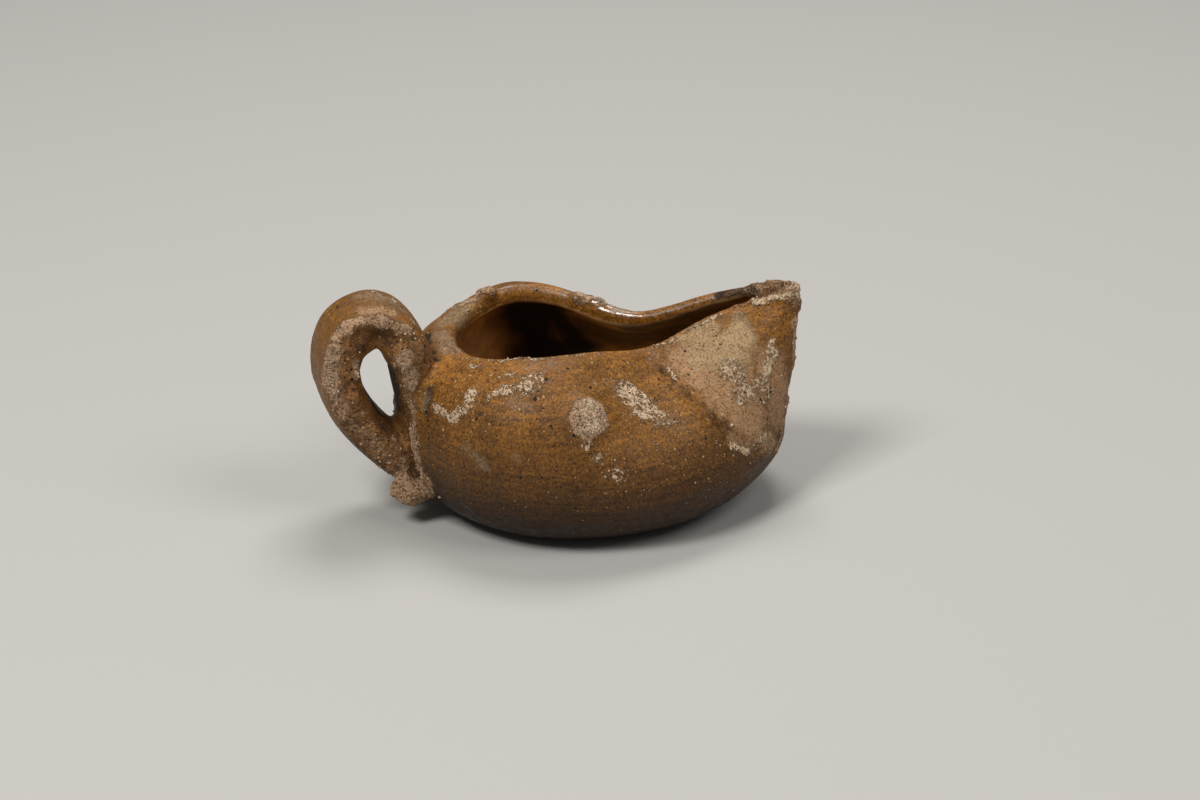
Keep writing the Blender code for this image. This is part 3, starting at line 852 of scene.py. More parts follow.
@dataclass
class StrapForm:
    """The strap handle, its smear down the wall and the squeezed lump at its foot."""

    bowl: BowlForm
    reach: float = 0.0142
    rise: float = 0.0086
    foot: float = 0.0090
    width: float = 0.0186
    smear_width: float = 0.0170
    thickness: float = 0.0098
    turn: float = STRAP_TURN
    squareness: float = 3.0
    steps: int = 9
    sides: int = 72
    lump_size: Point = (0.0100, 0.0070, 0.0068)
    lump_lift: float = 0.0088
    lump_inset: float = 0.0010
    # the middle line as shares of the reach past the belly, of the height, and of the thickness
    line: tuple[Point, ...] = (
        (-0.31, 0.48, 0.98), (-0.22, 0.71, 1.02), (-0.10, 0.82, 1.05), (0.03, 0.92, 0.98),
        (0.23, 0.99, 0.92), (0.50, 1.00, 0.92), (0.84, 0.93, 0.96), (1.00, 0.79, 1.00),
        (0.97, 0.62, 1.02), (0.79, 0.45, 1.02), (0.50, 0.30, 1.00), (0.16, 0.18, 1.00),
        (-0.20, 0.08, 0.98), (-0.50, 0.00, 0.95),
    )
    smear_line: tuple[Point, ...] = (
        (-0.30, 0.12, 0.80), (-0.28, 0.32, 0.86), (-0.30, 0.50, 0.90), (-0.27, 0.64, 0.86),
    )

    def middle_line(self, shares: Iterable[Point]) -> np.ndarray:
        """Return a smooth middle line as x, z and thickness share, before the strap is turned."""
        points = np.array(list(shares))
        ends = np.vstack([2 * points[0] - points[1], points, 2 * points[-1] - points[-2]])
        curve = []
        for before, here, there, after in zip(ends, ends[1:], ends[2:], ends[3:]):
            for t in np.arange(self.steps) / self.steps:
                curve.append(0.5 * (2 * here + (there - before) * t
                                    + (2 * before - 5 * here + 4 * there - after) * t ** 2
                                    + (3 * here - before - 3 * there + after) * t ** 3))
        line = np.array(curve + [points[-1]])
        top = self.bowl.rim_height - self.bowl.back_dip + self.rise
        x = -(self.bowl.belly_radius + line[:, 0] * self.reach)
        return np.stack([x, self.foot + line[:, 1] * (top - self.foot), line[:, 2]], axis=1)

    def turned(self, points: np.ndarray) -> np.ndarray:
        """Turn points about the bowl's axis by the strap's angle to the beak."""
        cos, sin = math.cos(self.turn), math.sin(self.turn)
        x, y = points[..., 0], points[..., 1]
        return np.stack([x * cos - y * sin, x * sin + y * cos, points[..., 2]], axis=-1)

    def section_tree(self) -> NodeTree:
        """Return the tree that carries a squarish section along a line of points."""
        tree, start = new_tree("strap_along_line", {
            "Line": "Geometry", "Width": "Float", "Thickness": "Float", "Corner Power": "Float",
            "Turn": "Float", "Sides": "Int", "Clay": "Material"})
        ring = add_node(tree, "GeometryNodeCurvePrimitiveCircle",
                        inputs={"Resolution": start.outputs["Sides"], "Radius": 1.0})
        spot = add_node(tree, "GeometryNodeInputPosition")
        axes = add_node(tree, "ShaderNodeSeparateXYZ", inputs={0: spot.outputs[0]})
        sides = []
        for axis, size in (("X", "Width"), ("Y", "Thickness")):
            away = calc(tree, "ABSOLUTE", axes.outputs[axis])
            full = calc(tree, "POWER", away, start.outputs["Corner Power"])
            signed = calc(tree, "MULTIPLY", full, calc(tree, "SIGN", axes.outputs[axis]))
            sides.append(calc(tree, "MULTIPLY", signed, calc(tree, "MULTIPLY", start.outputs[size], 0.5)))
        corner = add_node(tree, "ShaderNodeCombineXYZ", inputs={"X": sides[0], "Y": sides[1]})
        section = add_node(tree, "GeometryNodeSetPosition",
                           inputs={"Geometry": ring.outputs["Curve"], "Position": corner.outputs[0]})
        stout = add_node(tree, "GeometryNodeInputNamedAttribute", {"data_type": "FLOAT"},
                         {"Name": "stoutness"})
        line = add_node(tree, "GeometryNodeMeshToCurve", inputs={"Mesh": start.outputs["Line"]})
        strap = add_node(tree, "GeometryNodeCurveToMesh", inputs={
            "Curve": line.outputs[0], "Profile Curve": section.outputs[0],
            "Scale": stout.outputs["Attribute"], "Fill Caps": True})
        angle = add_node(tree, "ShaderNodeCombineXYZ", inputs={"Z": start.outputs["Turn"]})
        turned = add_node(tree, "GeometryNodeTransform", inputs={
            "Geometry": strap.outputs[0], "Rotation": angle.outputs[0]})
        close_tree(tree, turned.outputs[0], start.outputs["Clay"])
        return tree

    def along(self, name: str, shares: Iterable[Point], width: float, tree: NodeTree,
              clay: Material) -> Mesh:
        """Make one strap along its middle line.

        Args:
            name: the strap's name.
            shares: its middle line, as shares.
            width: its width across.
            tree: the tree that carries the section.
            clay: the material it is dressed with.

        Returns:
            The closed mesh.
        """
        line = self.middle_line(shares)
        points = np.stack([line[:, 0], np.zeros(len(line)), line[:, 1]], axis=1)
        mesh = bpy.data.meshes.new(name)
        mesh.from_pydata(points.tolist(), [(i, i + 1) for i in range(len(points) - 1)], [])
        mesh.attributes.new("stoutness", "FLOAT", "POINT").data.foreach_set("value", line[:, 2])
        strap = grown(name, mesh, tree, {
            "Width": width, "Thickness": self.thickness, "Corner Power": 2 / self.squareness,
            "Turn": self.turn, "Sides": self.sides, "Clay": clay})
        face_outwards(strap)
        return strap

    def lump(self) -> Mesh:
        """Return the squeezed lump of clay at the near side of the strap's lower end."""
        bm = bmesh.new()
        bmesh.ops.create_icosphere(bm, subdivisions=4, radius=0.5)
        shape = np.array([tuple(vert.co) for vert in bm.verts]) * self.lump_size
        shape += (self.lump_inset - self.bowl.belly_radius, -self.width / 2, self.lump_lift)
        for vert, place in zip(bm.verts, self.turned(shape)):
            vert.co = place
        mesh = bpy.data.meshes.new("lump")
        bm.to_mesh(mesh)
        bm.free()
        return mesh

    def build(self, clay: Material) -> list[Mesh]:
        """Return the strap, its smear and the lump, trimmed to the middle of the bowl's wall."""
        tree = self.section_tree()
        core = make_object("core", self.bowl.core())
        parts = []
        for mesh in (self.along("strap", self.line, self.width, tree, clay),
                     self.along("smear", self.smear_line, self.smear_width, tree, clay), self.lump()):
            obj = make_object(mesh.name, mesh)
            trim = obj.modifiers.new("trim", "BOOLEAN")
            trim.operation, trim.solver, trim.object = "DIFFERENCE", "EXACT", core
            parts.append(bake(obj, mesh.name))
        bpy.data.objects.remove(core, do_unlink=True)
        return parts


@dataclass
class Weathering:
    """How throwing, pinching, use and burial moved the surface, in millimetres.

    Attributes:
        marks: the traces and what they did to the clay.
        creases: the fold, its ridge and the hollow of the pinch.
        rings, rings_inside: the throwing rings, and how much stronger they are inside the bowl.
        strap_lines: the lines drawn along the strap.
        overall: the hand's wobble, its dimples, and the skin of the clay.
        crumbs, crumb_mean, crumb_height, most_crumbs: the lumps of the crusted patches.
        tip, tip_clay, tip_swell: the rough fill of clay at the tip.
        keel, flakes, flake_share, flake_depth: what flaked off the keel.
        bare_clay: how rough unglazed clay is.
        near_face, near_face_soft: how far from the strap's middle its near face starts.
        reach, half_at: how many radii a mark reaches, and where it covers a half.
        tear, tear_share, tear_least: how deep a mark's edge is torn, and how wide the tears are.
        crust_edge, crust_tear: how wide a crust's crisp edge is, and the share of the tears it has.
        rise_reach, push_reach: how many radii a mark lifts and pushes.
    """

    marks: tuple[Mark, ...] = BELLY_MARKS + BEAK_MARKS + RIM_MARKS + STRAP_MARKS + HIDDEN_MARKS
    creases: tuple[Crease, ...] = CREASES
    rings: Texture = Texture(1.7, 0.07, stretch=(0.04, 0.04, 1.0), shift=(3.0, 5.0, 0.0))
    rings_inside: float = 0.8
    strap_lines: Texture = Texture(2.6, 0.14, stretch=(0.25, 1.0, 0.25))
    overall: tuple[Texture, ...] = (
        Texture(19.0, 0.32),
        Texture(6.5, 0.10, shift=(40.0, 40.0, 40.0)),
        Texture(1.5, 0.035, shift=(80.0, 80.0, 80.0)),
    )
    crumbs: Texture = Texture(1.6, 1.0)
    crumb_mean: float = 0.35
    crumb_height: float = 0.55
    most_crumbs: float = 1.2
    tip: Front = Front(38.0, 5.0, 40.0, 4.0)
    tip_clay: Texture = Texture(3.4, 0.9, 3)
    tip_swell: float = 0.1
    keel: Front = Front(45.5, 3.0, 14.0, 6.0)
    flakes: Texture = Texture(3.2, 1.0, 3, shift=(20.0, 20.0, 20.0))
    flake_share: float = 0.05
    flake_depth: float = 1.1
    bare_clay: Texture = Texture(2.3, 0.75, 3)
    near_face: float = 7.4
    near_face_soft: float = 1.6
    reach: float = 2.2
    half_at: float = 0.75
    tear: float = 0.55
    tear_share: float = 0.9
    tear_least: float = 0.8
    crust_edge: float = 2.2
    crust_tear: float = 0.8
    rise_reach: float = 1.35
    push_reach: float = 1.3
    noise: ClayNoise = field(default_factory=lambda: ClayNoise(7))

    def cover(self, points: np.ndarray, mark: Mark) -> np.ndarray:
        """Return how fully a mark covers each point, with a torn edge."""
        away = stroke_distance(points, mark.start, mark.end) / mark.radius
        near = away < self.reach
        covered = np.zeros(len(points))
        if near.any():
            width = self.tear_share * mark.radius + self.tear_least
            torn = self.noise.at(points[near], width, 3) * self.tear
            crusty = mark.kind in (LIME, CRUST)
            soft = min(1.0, self.crust_edge / mark.radius) if crusty else 1.0
            torn *= self.crust_tear + (1.0 - self.crust_tear) * soft
            covered[near] = mark.strength * ease(0.5 + (self.half_at - away[near] + torn) / soft)
        return covered

    def traces(self, points: np.ndarray) -> dict[Trace, np.ndarray]:
        """Return how fully each kind of trace covers each point.

        Args:
            points: the surface's points, in millimetres.

        Returns:
            A value from 0 to 1 for each point, by kind.
        """
        found = {kind: np.zeros(len(points)) for kind in Trace}
        for mark in self.marks:
            found[mark.kind] = np.maximum(found[mark.kind], self.cover(points, mark))
        return found

    def relief(self, points: np.ndarray, found: dict[Trace, np.ndarray]) -> np.ndarray:
        """Return how far each point moves outwards.

        Args:
            points: the surface's points, in millimetres.
            found: how fully each kind of trace covers them.

        Returns:
            Heights in millimetres, below 0 for hollows.
        """
        noise, cavity, strap = self.noise, found[CAVITY], found[STRAP]
        rings = noise.textured(points, self.rings)
        height = rings * (1.0 - strap) * (1.0 + self.rings_inside * cavity)
        height += strap * noise.textured(points, self.strap_lines)
        for texture in self.overall:
            height += noise.textured(points, texture)
        for crease in self.creases:
            line = crease.line
            away = np.min([stroke_distance(points, a, b) for a, b in zip(line, line[1:])], axis=0)
            height -= crease.depth * np.exp(-(away / crease.width) ** 2) * (1.0 - cavity)
        rough = np.clip(sum(share * found[kind] for kind, share in ROUGHENS.items()), 0.0, self.most_crumbs)
        height += rough * (noise.textured(points, self.crumbs) + self.crumb_mean) * self.crumb_height
        for mark in self.marks:
            if mark.rise:
                height += mark.rise * self.within(points, mark, self.rise_reach)
        height += self.tip.share(points) * (noise.textured(points, self.tip_clay) + self.tip_swell)
        lost = np.clip(noise.textured(points, self.flakes) + self.flake_share, 0.0, 1.0)
        height -= self.keel.share(points) * lost * self.flake_depth
        bare = np.maximum(self.on_near_face(points, strap), found[BUFF])
        return height + bare * noise.textured(points, self.bare_clay)

    def within(self, points: np.ndarray, mark: Mark, reach: float) -> np.ndarray:
        """Return 1 on a mark's stroke, falling softly to 0 at the given number of its radii."""
        return ease(reach - stroke_distance(points, mark.start, mark.end) / mark.radius)

    def on_near_face(self, points: np.ndarray, strap: np.ndarray) -> np.ndarray:
        """Return 1 on the strap's near face, which is rough and was never glazed well."""
        across = points @ np.array([-math.sin(STRAP_TURN), math.cos(STRAP_TURN), 0.0])
        return strap * ease((-across - self.near_face) / self.near_face_soft)

    def pushed(self, points: np.ndarray) -> np.ndarray:
        """Return how far each point is pushed sideways, in millimetres."""
        moved = np.zeros_like(points)
        for mark in self.marks:
            if any(mark.push):
                moved += self.within(points, mark, self.push_reach)[:, None] * mark.push
        return moved


@dataclass
class LampBody:
    """The whole fired lamp: bowl, beak and handle in one clay, weathered and dressed.

    Attributes:
        bowl, strap, weathering: what it is made of.
        grid: the spacing of the grid that the parts are fused on, in metres.
        most_triangles: how many triangles are kept.
        blend_reach, blend_start: how far from a join the blend reaches, in metres, and its softness.
        blend_most, blend_least, blend_rounds: how strongly the joins and the rest are evened out.
        strap_clear, strap_soft, strap_front: where the strap starts, in millimetres.
        cavity_soft, cavity_shift, cavity_reach: where the inside starts, the last in metres.
        tip: the tip's clay, which isn't counted as inside.
        kept_inside: the share of the crusts that the inside keeps.
        near_face_clay, near_face_dust: how bare and how dusty the strap's near face is.
        dust_lost_inside: the share of the dust that the inside loses.
        standing: how far over the floor the weathering sets in, in millimetres.
    """

    bowl: BowlForm
    strap: StrapForm
    weathering: Weathering
    grid: float = 0.00055
    most_triangles: int = 194000
    blend_reach: float = 0.0022
    blend_start: float = 1.4
    blend_most: float = 0.6
    blend_least: float = 0.04
    blend_rounds: int = 14
    strap_clear: float = 0.6
    strap_soft: float = 1.2
    strap_front: float = -24.0
    cavity_soft: float = 2.4
    cavity_shift: float = 0.1
    cavity_reach: float = 0.0016
    tip: Front = Front(37.0, 4.0, 36.0, 6.0)
    kept_inside: float = 0.25
    near_face_clay: float = 0.62
    near_face_dust: float = 0.6
    dust_lost_inside: float = 0.8
    standing: float = 1.5

    def fused(self, parts: list[Mesh]) -> Mesh:
        """Fuse overlapping closed meshes into one evenly divided skin."""
        bm = bmesh.new()
        for mesh in parts:
            bm.from_mesh(mesh)
        mesh = bpy.data.meshes.new("lamp_body")
        bm.to_mesh(mesh)
        bm.free()
        obj = make_object("fusing", mesh)
        remesh = obj.modifiers.new("grid", "REMESH")
        remesh.mode, remesh.voxel_size = "VOXEL", self.grid
        return bake(obj, "lamp_body")

    def relaxed(self, mesh: Mesh, weight: np.ndarray) -> None:
        """Even out the surface where the weight says so.

        Args:
            mesh: the mesh to change.
            weight: how far each point goes towards its neighbours' mean, each round.
        """
        edges = np.empty(len(mesh.edges) * 2, dtype=int)
        mesh.edges.foreach_get("vertices", edges)
        one, two = edges.reshape(-1, 2).T
        points = coordinates(mesh)
        count = np.bincount(np.concatenate([one, two]), minlength=len(points))[:, None]
        for _ in range(self.blend_rounds):
            total = np.zeros_like(points)
            for axis in range(3):
                total[:, axis] = (np.bincount(one, points[two, axis], len(points))
                                  + np.bincount(two, points[one, axis], len(points)))
            points += (total / count - points) * weight[:, None]
        mesh.vertices.foreach_set("co", points.ravel())
        mesh.update()

    def blended(self, clay: Material) -> Mesh:
        """Return the bowl, strap, smear and lump as one skin with soft joins."""
        bowl, added = self.bowl.build(), self.strap.build(clay)
        bowl_points = coordinates(bowl)
        strap_points = np.concatenate([coordinates(part) for part in added])
        mesh = self.fused([bowl] + added)
        points = coordinates(mesh)
        farther = np.maximum(nearest(points, bowl_points), nearest(points, strap_points))
        weight = ease(self.blend_start - farther / self.blend_reach)
        self.relaxed(mesh, np.clip(self.blend_most * weight + self.blend_least, 0.0, self.blend_most))
        return mesh

    def regions(self, mesh: Mesh) -> tuple[np.ndarray, np.ndarray]:
        """Return how far each point is inside the bowl and how far it is on the strap, 0 to 1."""
        points = coordinates(mesh)
        face = self.bowl.outer_face()
        sides = (face, self.bowl.inward(face, 1.0))
        to_outer, to_inner = (nearest(points, np.concatenate(list(side) + self.bowl.disc(side[0])))
                              for side in sides)
        points = points / MM
        off_bowl = ease((np.minimum(to_outer, to_inner) / MM - self.strap_clear) / self.strap_soft)
        strap = off_bowl * (points[:, 0] < self.strap_front)
        cavity = ease((to_outer - to_inner) / MM / self.cavity_soft + self.cavity_shift)
        cavity *= (to_inner < self.cavity_reach) * (1.0 - self.tip.share(points))
        return cavity, strap

    def traces(self, points: np.ndarray, cavity: np.ndarray, strap: np.ndarray) -> dict[Trace, np.ndarray]:
        """Return how fully each kind of trace covers each point, once its place is allowed for.

        Args:
            points: the surface's points, in millimetres.
            cavity, strap: how far each is inside the bowl, and on the strap.

        Returns:
            A value from 0 to 1 for each point, by kind.
        """
        found = self.weathering.traces(points)
        outside = 1.0 - cavity
        found[CAVITY], found[STRAP] = cavity, strap
        found[SMOKE] *= cavity
        for kind in (LIME, CRUST, CREAM, PINK, PALE):
            found[kind] *= self.kept_inside + (1.0 - self.kept_inside) * outside
        bare = self.weathering.on_near_face(points, strap)
        found[BUFF] = np.maximum(found[BUFF], self.near_face_clay * bare)
        dusty = np.maximum(found[DUST], self.near_face_dust * bare)
        found[DUST] = dusty * (1.0 - self.dust_lost_inside * cavity)
        grain = sum((share * found[kind] for kind, share in HOLDS_GRIT.items()), found[LIME] ** 2)
        found[GRAIN] = np.clip(grain, 0.0, 1.0) * outside
        return found

    def thinned(self, mesh: Mesh) -> Mesh:
        """Merge the skin's smallest steps, on its smooth parts first, down to the allowed count."""
        obj = make_object("thinning", mesh)
        thin = obj.modifiers.new("thin", "DECIMATE")
        thin.ratio = min(1.0, self.most_triangles / (2 * len(mesh.polygons)))
        return bake(obj, "lamp_body")

    def build(self, clay: Material) -> Object:
        """Build the lamp's visible piece.

        Args:
            clay: the material it is dressed with.

        Returns:
            The finished object.
        """
        mesh = self.blended(clay)
        points = coordinates(mesh) / MM
        found = self.traces(points, *self.regions(mesh))
        normals = np.empty(points.size)
        mesh.vertex_normals.foreach_get("vector", normals)
        height = self.weathering.relief(points, found) * ease(points[:, 2] / self.standing)
        points += normals.reshape(-1, 3) * height[:, None] + self.weathering.pushed(points)
        points[:, 2] = np.maximum(points[:, 2], 0.0)
        mesh.vertices.foreach_set("co", (points * MM).ravel())
        for kind, values in found.items():
            mesh.attributes.new(kind.value, "FLOAT", "POINT").data.foreach_set("value", values)
        mesh.update()
        mesh = self.thinned(mesh)
        mesh.materials.clear()
        mesh.materials.append(clay)
        mesh.shade_smooth()
        LOG.info("lamp_body: %d faces", len(mesh.polygons))
        return make_object("lamp_body", mesh)


@dataclass
class GritCoat:
    """Loose lime grit and crumbs that stick up from the crusted patches."""

    smallest: float = 0.00010
    largest: float = 0.00042
    per_square_metre: float = 1.8e6
    rarity: float = 3.0
    flattest: Point = (0.55, 0.55, 0.4)
    roundest: Point = (1.25, 1.25, 0.9)
    full_turn: float = 6.28
    seed: int = 11

    def tree(self) -> NodeTree:
        """Return the tree that scatters crumbs where the surface's grain attribute asks for them."""
        tree, start = new_tree("scatter_grit", {
            "Surface": "Geometry", "Smallest": "Float", "Largest": "Float", "Per Square Metre": "Float",
            "Seed": "Int", "Grit": "Material"})
        seed = start.outputs["Seed"]
        grain = add_node(tree, "GeometryNodeInputNamedAttribute", {"data_type": "FLOAT"},
                         {"Name": GRAIN.value})
        density = calc(tree, "MULTIPLY", grain.outputs["Attribute"], start.outputs["Per Square Metre"])
        points = add_node(tree, "GeometryNodeDistributePointsOnFaces", {"distribute_method": "RANDOM"}, {
            "Mesh": start.outputs["Surface"], "Density": density, "Seed": seed})
        crumb = add_node(tree, "GeometryNodeMeshIcoSphere", inputs={"Radius": 1.0, "Subdivisions": 1})
        luck = add_node(tree, "FunctionNodeRandomValue", {"data_type": "FLOAT"},
                        {2: 0.0, 3: 1.0, "Seed": seed})
        rare = calc(tree, "POWER", luck.outputs[1], self.rarity)
        size = spread(tree, rare, 0.0, 1.0, start.outputs["Smallest"], start.outputs["Largest"])
        shape = add_node(tree, "FunctionNodeRandomValue", {"data_type": "FLOAT_VECTOR"},
                         {0: self.flattest, 1: self.roundest, "Seed": seed})
        spin = add_node(tree, "FunctionNodeRandomValue", {"data_type": "FLOAT_VECTOR"},
                        {0: (0.0, 0.0, 0.0), 1: (self.full_turn,) * 3, "Seed": seed})
        placed = add_node(tree, "GeometryNodeInstanceOnPoints", inputs={
            "Points": points.outputs["Points"], "Instance": crumb.outputs["Mesh"],
            "Rotation": spin.outputs[0], "Scale": scaled(tree, shape.outputs[0], size)})
        close_tree(tree, placed.outputs[0], start.outputs["Grit"])
        return tree

    def build(self, surface: Object, grit: Material) -> Object:
        """Scatter the crumbs over a surface.

        Args:
            surface: the piece that carries them.
            grit: the material they are dressed with.

        Returns:
            The finished object.
        """
        mesh = grown("lime_grit", surface.data.copy(), self.tree(), {
            "Smallest": self.smallest, "Largest": self.largest, "Seed": self.seed,
            "Per Square Metre": self.per_square_metre, "Grit": grit})
        mesh.materials.clear()
        mesh.materials.append(grit)
        LOG.info("lime_grit: %d faces", len(mesh.polygons))
        return make_object("lime_grit", mesh)


@dataclass
class CoatBuilder:
    """Lays one coat over another in a shader: colour, roughness and height in millimetres."""

    tree: NodeTree
    mm: NodeSocket
    traces: dict[Trace, NodeSocket]
    colour: NodeSocket
    roughness: NodeSocket
    height: NodeSocket

    def lay(self, cover: NodeSocket, colour: NodeSocket | tuple, roughness: Optional[float] = None,
            height: Optional[NodeSocket] = None) -> None:
        """Lay a coat over what is there.

        Args:
            cover: where it lies, 0 to 1.
            colour: its colour.
            roughness: its roughness, or None to leave what is there.
            height: its own relief in millimetres, added where it lies.
        """
        tree = self.tree
        self.colour = add_node(tree, "ShaderNodeMix", {"data_type": "RGBA"},
                               {0: cover, 6: self.colour, 7: colour}).outputs[2]
        if roughness is not None:
            self.roughness = add_node(tree, "ShaderNodeMix", {"data_type": "FLOAT"},
                                      {0: cover, 2: self.roughness, 3: roughness}).outputs[0]
        if height is not None:
            self.height = calc(tree, "MULTIPLY_ADD", cover, height, self.height)


@dataclass(frozen=True)
class Deposit:
    """How one trace of the burial lies on the glass, with sizes in millimetres.

    Attributes:
        kind: the trace.
        high, low: its lighter and darker tones.
        grit: the size of the grit that breaks it up.
        broken: how far the grit breaks its edge.
        edge: where its edge starts and ends.
        opaque: how far it hides what is under it.
        rough: its roughness.
        relief: how tall its grit is.
    """

    kind: Trace
    high: str
    low: str
    grit: float
    broken: float
    edge: tuple[float, float]
    opaque: float
    rough: float
    relief: float


# In the order they lie: worn bloom, dull skin, bare clay, fine cream silt, soot and painted shade, crust,
# lime
DEPOSITS: tuple[Deposit, ...] = (
    Deposit(PALE, "#8b775c", "#5e4a31", 1.0, 3.0, (0.25, 1.1), 0.8, 0.7, 0.1),
    Deposit(PINK, "#c29a73", "#80603f", 0.6, 2.6, (0.25, 0.95), 0.62, 0.7, 0.35),
    Deposit(BUFF, "#9a6b3e", "#50331b", 1.1, 2.6, (0.30, 0.80), 0.95, 0.9, 0.9),
    Deposit(CREAM, "#bb9d74", "#81613f", 0.5, 2.0, (0.20, 0.95), 0.92, 0.8, 0.3),
    # soot, and painted shade in creases, recesses, pits and the fold's valley
    Deposit(SOOT_AND_SHADE, "#231509", "#3f2812", 1.2, 1.6, (0.25, 0.85), 0.95, 0.9, 0.05),
    Deposit(CRUST, "#c49f7b", "#714b2d", 0.6, 2.6, (0.25, 0.75), 1.0, 0.9, 0.8),
    Deposit(LIME, "#e0c3a0", "#7f5939", 0.7, 3.2, (0.34, 0.6), 1.0, 0.9, 0.8),
)


@dataclass(frozen=True)
class Speck:
    """One size of speck in the glass, in millimetres.

    Attributes:
        pitch: how far apart their places are.
        largest: the largest one's reach, as a share of the pitch.
        share: how many of the places have one.
        dust: how many more do where dust lies.
        colour: their colour.
    """

    pitch: float
    largest: float
    share: float
    dust: float
    colour: str


# Iron specks that bled through the glass, and pale flecks of lime in the dust
SPECKS: tuple[Speck, ...] = (
    Speck(0.8, 0.30, 0.6, 0.0, "#1b0f07"),
    Speck(2.4, 0.2, 0.5, 0.0, "#1b0f07"),
    Speck(0.6, 0.32, 0.06, 0.48, "#b4946c"),
    Speck(1.1, 0.28, 0.02, 0.46, "#b4946c"),
)


@dataclass(frozen=True)
class LeadGlaze:
    """Lead glaze over reddish-buff earthenware, brushed on, fired once and long buried.

    The glass pools amber and honey where it is thick and goes brown where it is thin, iron in the
    clay bleeds through as fine dark specks, and burial leaves lime, buff clay and dull worn skin.
    """

    honey: str = "#986525"
    amber: str = "#86571d"
    brown: str = "#694414"
    # painted shade: the glaze is darkened towards the floor
    foot: str = "#180d05"
    foot_shade_top: float = 42.0
    foot_shade_bottom: float = 2.0
    foot_shade_share: float = 0.95
    strap: str = "#6f4c26"
    # painted light: the inside's tones are lighter than the outside glaze, lighting the inner walls
    cavity: str = "#c89a5c"
    lit_cavity_deep: str = "#9c713e"
    soot_and_shade: str = "#0d0603"
    gloss: float = 0.46
    dull: float = 0.72
    wet: float = 0.16
    ior: float = 1.5
    shine: float = 0.32

    def material(self) -> Material:
        """Return the glaze with all that lies on it."""
        material = make_material("lead_glazed_earthenware")
        coat = self.glass(material.node_tree)
        self.burial(coat)
        self.specks(coat)
        self.inside(coat)
        bump = add_node(coat.tree, "ShaderNodeBump", inputs={
            "Strength": 1.0, "Distance": MM, "Height": coat.height})
        shade(coat.tree, {
            "Base Color": coat.colour, "Roughness": coat.roughness, "IOR": self.ior,
            "Specular IOR Level": spread(coat.tree, coat.traces[GLOSS], 0.0, 1.0, self.shine, 1.0),
            "Normal": bump.outputs[0]})
        return material

    def glass(self, tree: NodeTree) -> CoatBuilder:
        """Make the glass itself: pools 14 mm wide, mottles of 2 and 0.5 mm, throwing lines and painted
        shade low down.

        Args:
            tree: the material's node tree.

        Returns:
            The glass, ready for what lies on it.
        """
        place = add_node(tree, "ShaderNodeTexCoord")
        mm = scaled(tree, place.outputs["Object"], 1 / MM)
        traces = {kind: add_node(tree, "ShaderNodeAttribute", {"attribute_name": kind.value}).outputs["Fac"]
                  for kind in Trace}
        pools = noise_texture(tree, mm, 14.0, 6.0, 0.68, 0.3)
        depth = add_node(tree, "ShaderNodeValToRGB", inputs={0: pools.outputs["Fac"]})
        ramp = depth.color_ramp
        ramp.elements[0].position, ramp.elements[0].color = 0.26, linear(self.brown)
        ramp.elements[1].position, ramp.elements[1].color = 0.74, linear(self.honey)
        middle = ramp.elements.new(0.5)
        middle.color = linear(self.amber)
        tone: NodeSocket | float = 1.0
        relief: NodeSocket | float = 0.0
        fields = []
        # each layer's stretch, width, darkest and lightest share, and height
        for stretch, width, low, high, tall in (((1.0, 1.0, 1.0), 2.1, 0.78, 1.22, 0.06),
                                                ((1.0, 1.0, 1.0), 0.55, 0.36, 1.6, 0.05),
                                                ((0.06, 0.06, 1.0), 0.9, 0.72, 1.24, 0.05)):
            fields.append(noise_texture(tree, scaled(tree, mm, stretch), width, 3.0, 0.62).outputs["Fac"])
            tone = calc(tree, "MULTIPLY", tone, spread(tree, fields[-1], 0.32, 0.68, low, high))
            relief = calc(tree, "MULTIPLY_ADD", fields[-1], tall, relief)
        worn = spread(tree, fields[0], 0.36, 0.66, self.gloss, self.dull)
        rough = add_node(tree, "ShaderNodeMix", {"data_type": "FLOAT"},
                         {0: traces[GLOSS], 2: worn, 3: self.wet})
        toned = scaled(tree, depth.outputs["Color"], tone)
        coat = CoatBuilder(tree, mm, traces, toned, rough.outputs[0], relief)
        axes = add_node(tree, "ShaderNodeSeparateXYZ", inputs={0: mm})
        # painted shade, darkening the glaze towards the floor
        shade_towards_floor = spread(tree, axes.outputs["Z"], self.foot_shade_top, self.foot_shade_bottom, 0.0,
                          self.foot_shade_share, "SMOOTHSTEP")
        coat.lay(shade_towards_floor, scaled(tree, linear(self.foot)[:3], tone))
        brushed = noise_texture(tree, scaled(tree, mm, (0.1, 1.0, 0.1)), 0.8, 3.0)
        streak = spread(tree, brushed.outputs["Fac"], 0.35, 0.65)
        coat.lay(calc(tree, "MULTIPLY", streak, traces[STRAP]), linear(self.strap))
        return coat

    def burial(self, coat: CoatBuilder) -> None:
        """Lay the burial's traces over the glass, each broken up by grit of its own size."""
        tree = coat.tree
        for deposit in DEPOSITS:
            trace = coat.traces[deposit.kind]
            grain = noise_texture(tree, coat.mm, deposit.grit, 4.0, 0.66)
            clump = noise_texture(tree, coat.mm, deposit.grit * 3.2, 2.0)
            both = add_node(tree, "ShaderNodeMix", {"data_type": "FLOAT"}, {
                0: 0.4, 2: grain.outputs["Fac"], 3: clump.outputs["Fac"]})
            ragged = calc(tree, "MULTIPLY_ADD", both.outputs[0], deposit.broken, -0.5 * deposit.broken)
            cover = spread(tree, calc(tree, "ADD", trace, ragged), *deposit.edge, 0.0,
                           deposit.opaque, "SMOOTHSTEP")
            where = calc(tree, "MULTIPLY", cover, spread(tree, trace, 0.02, 0.25))
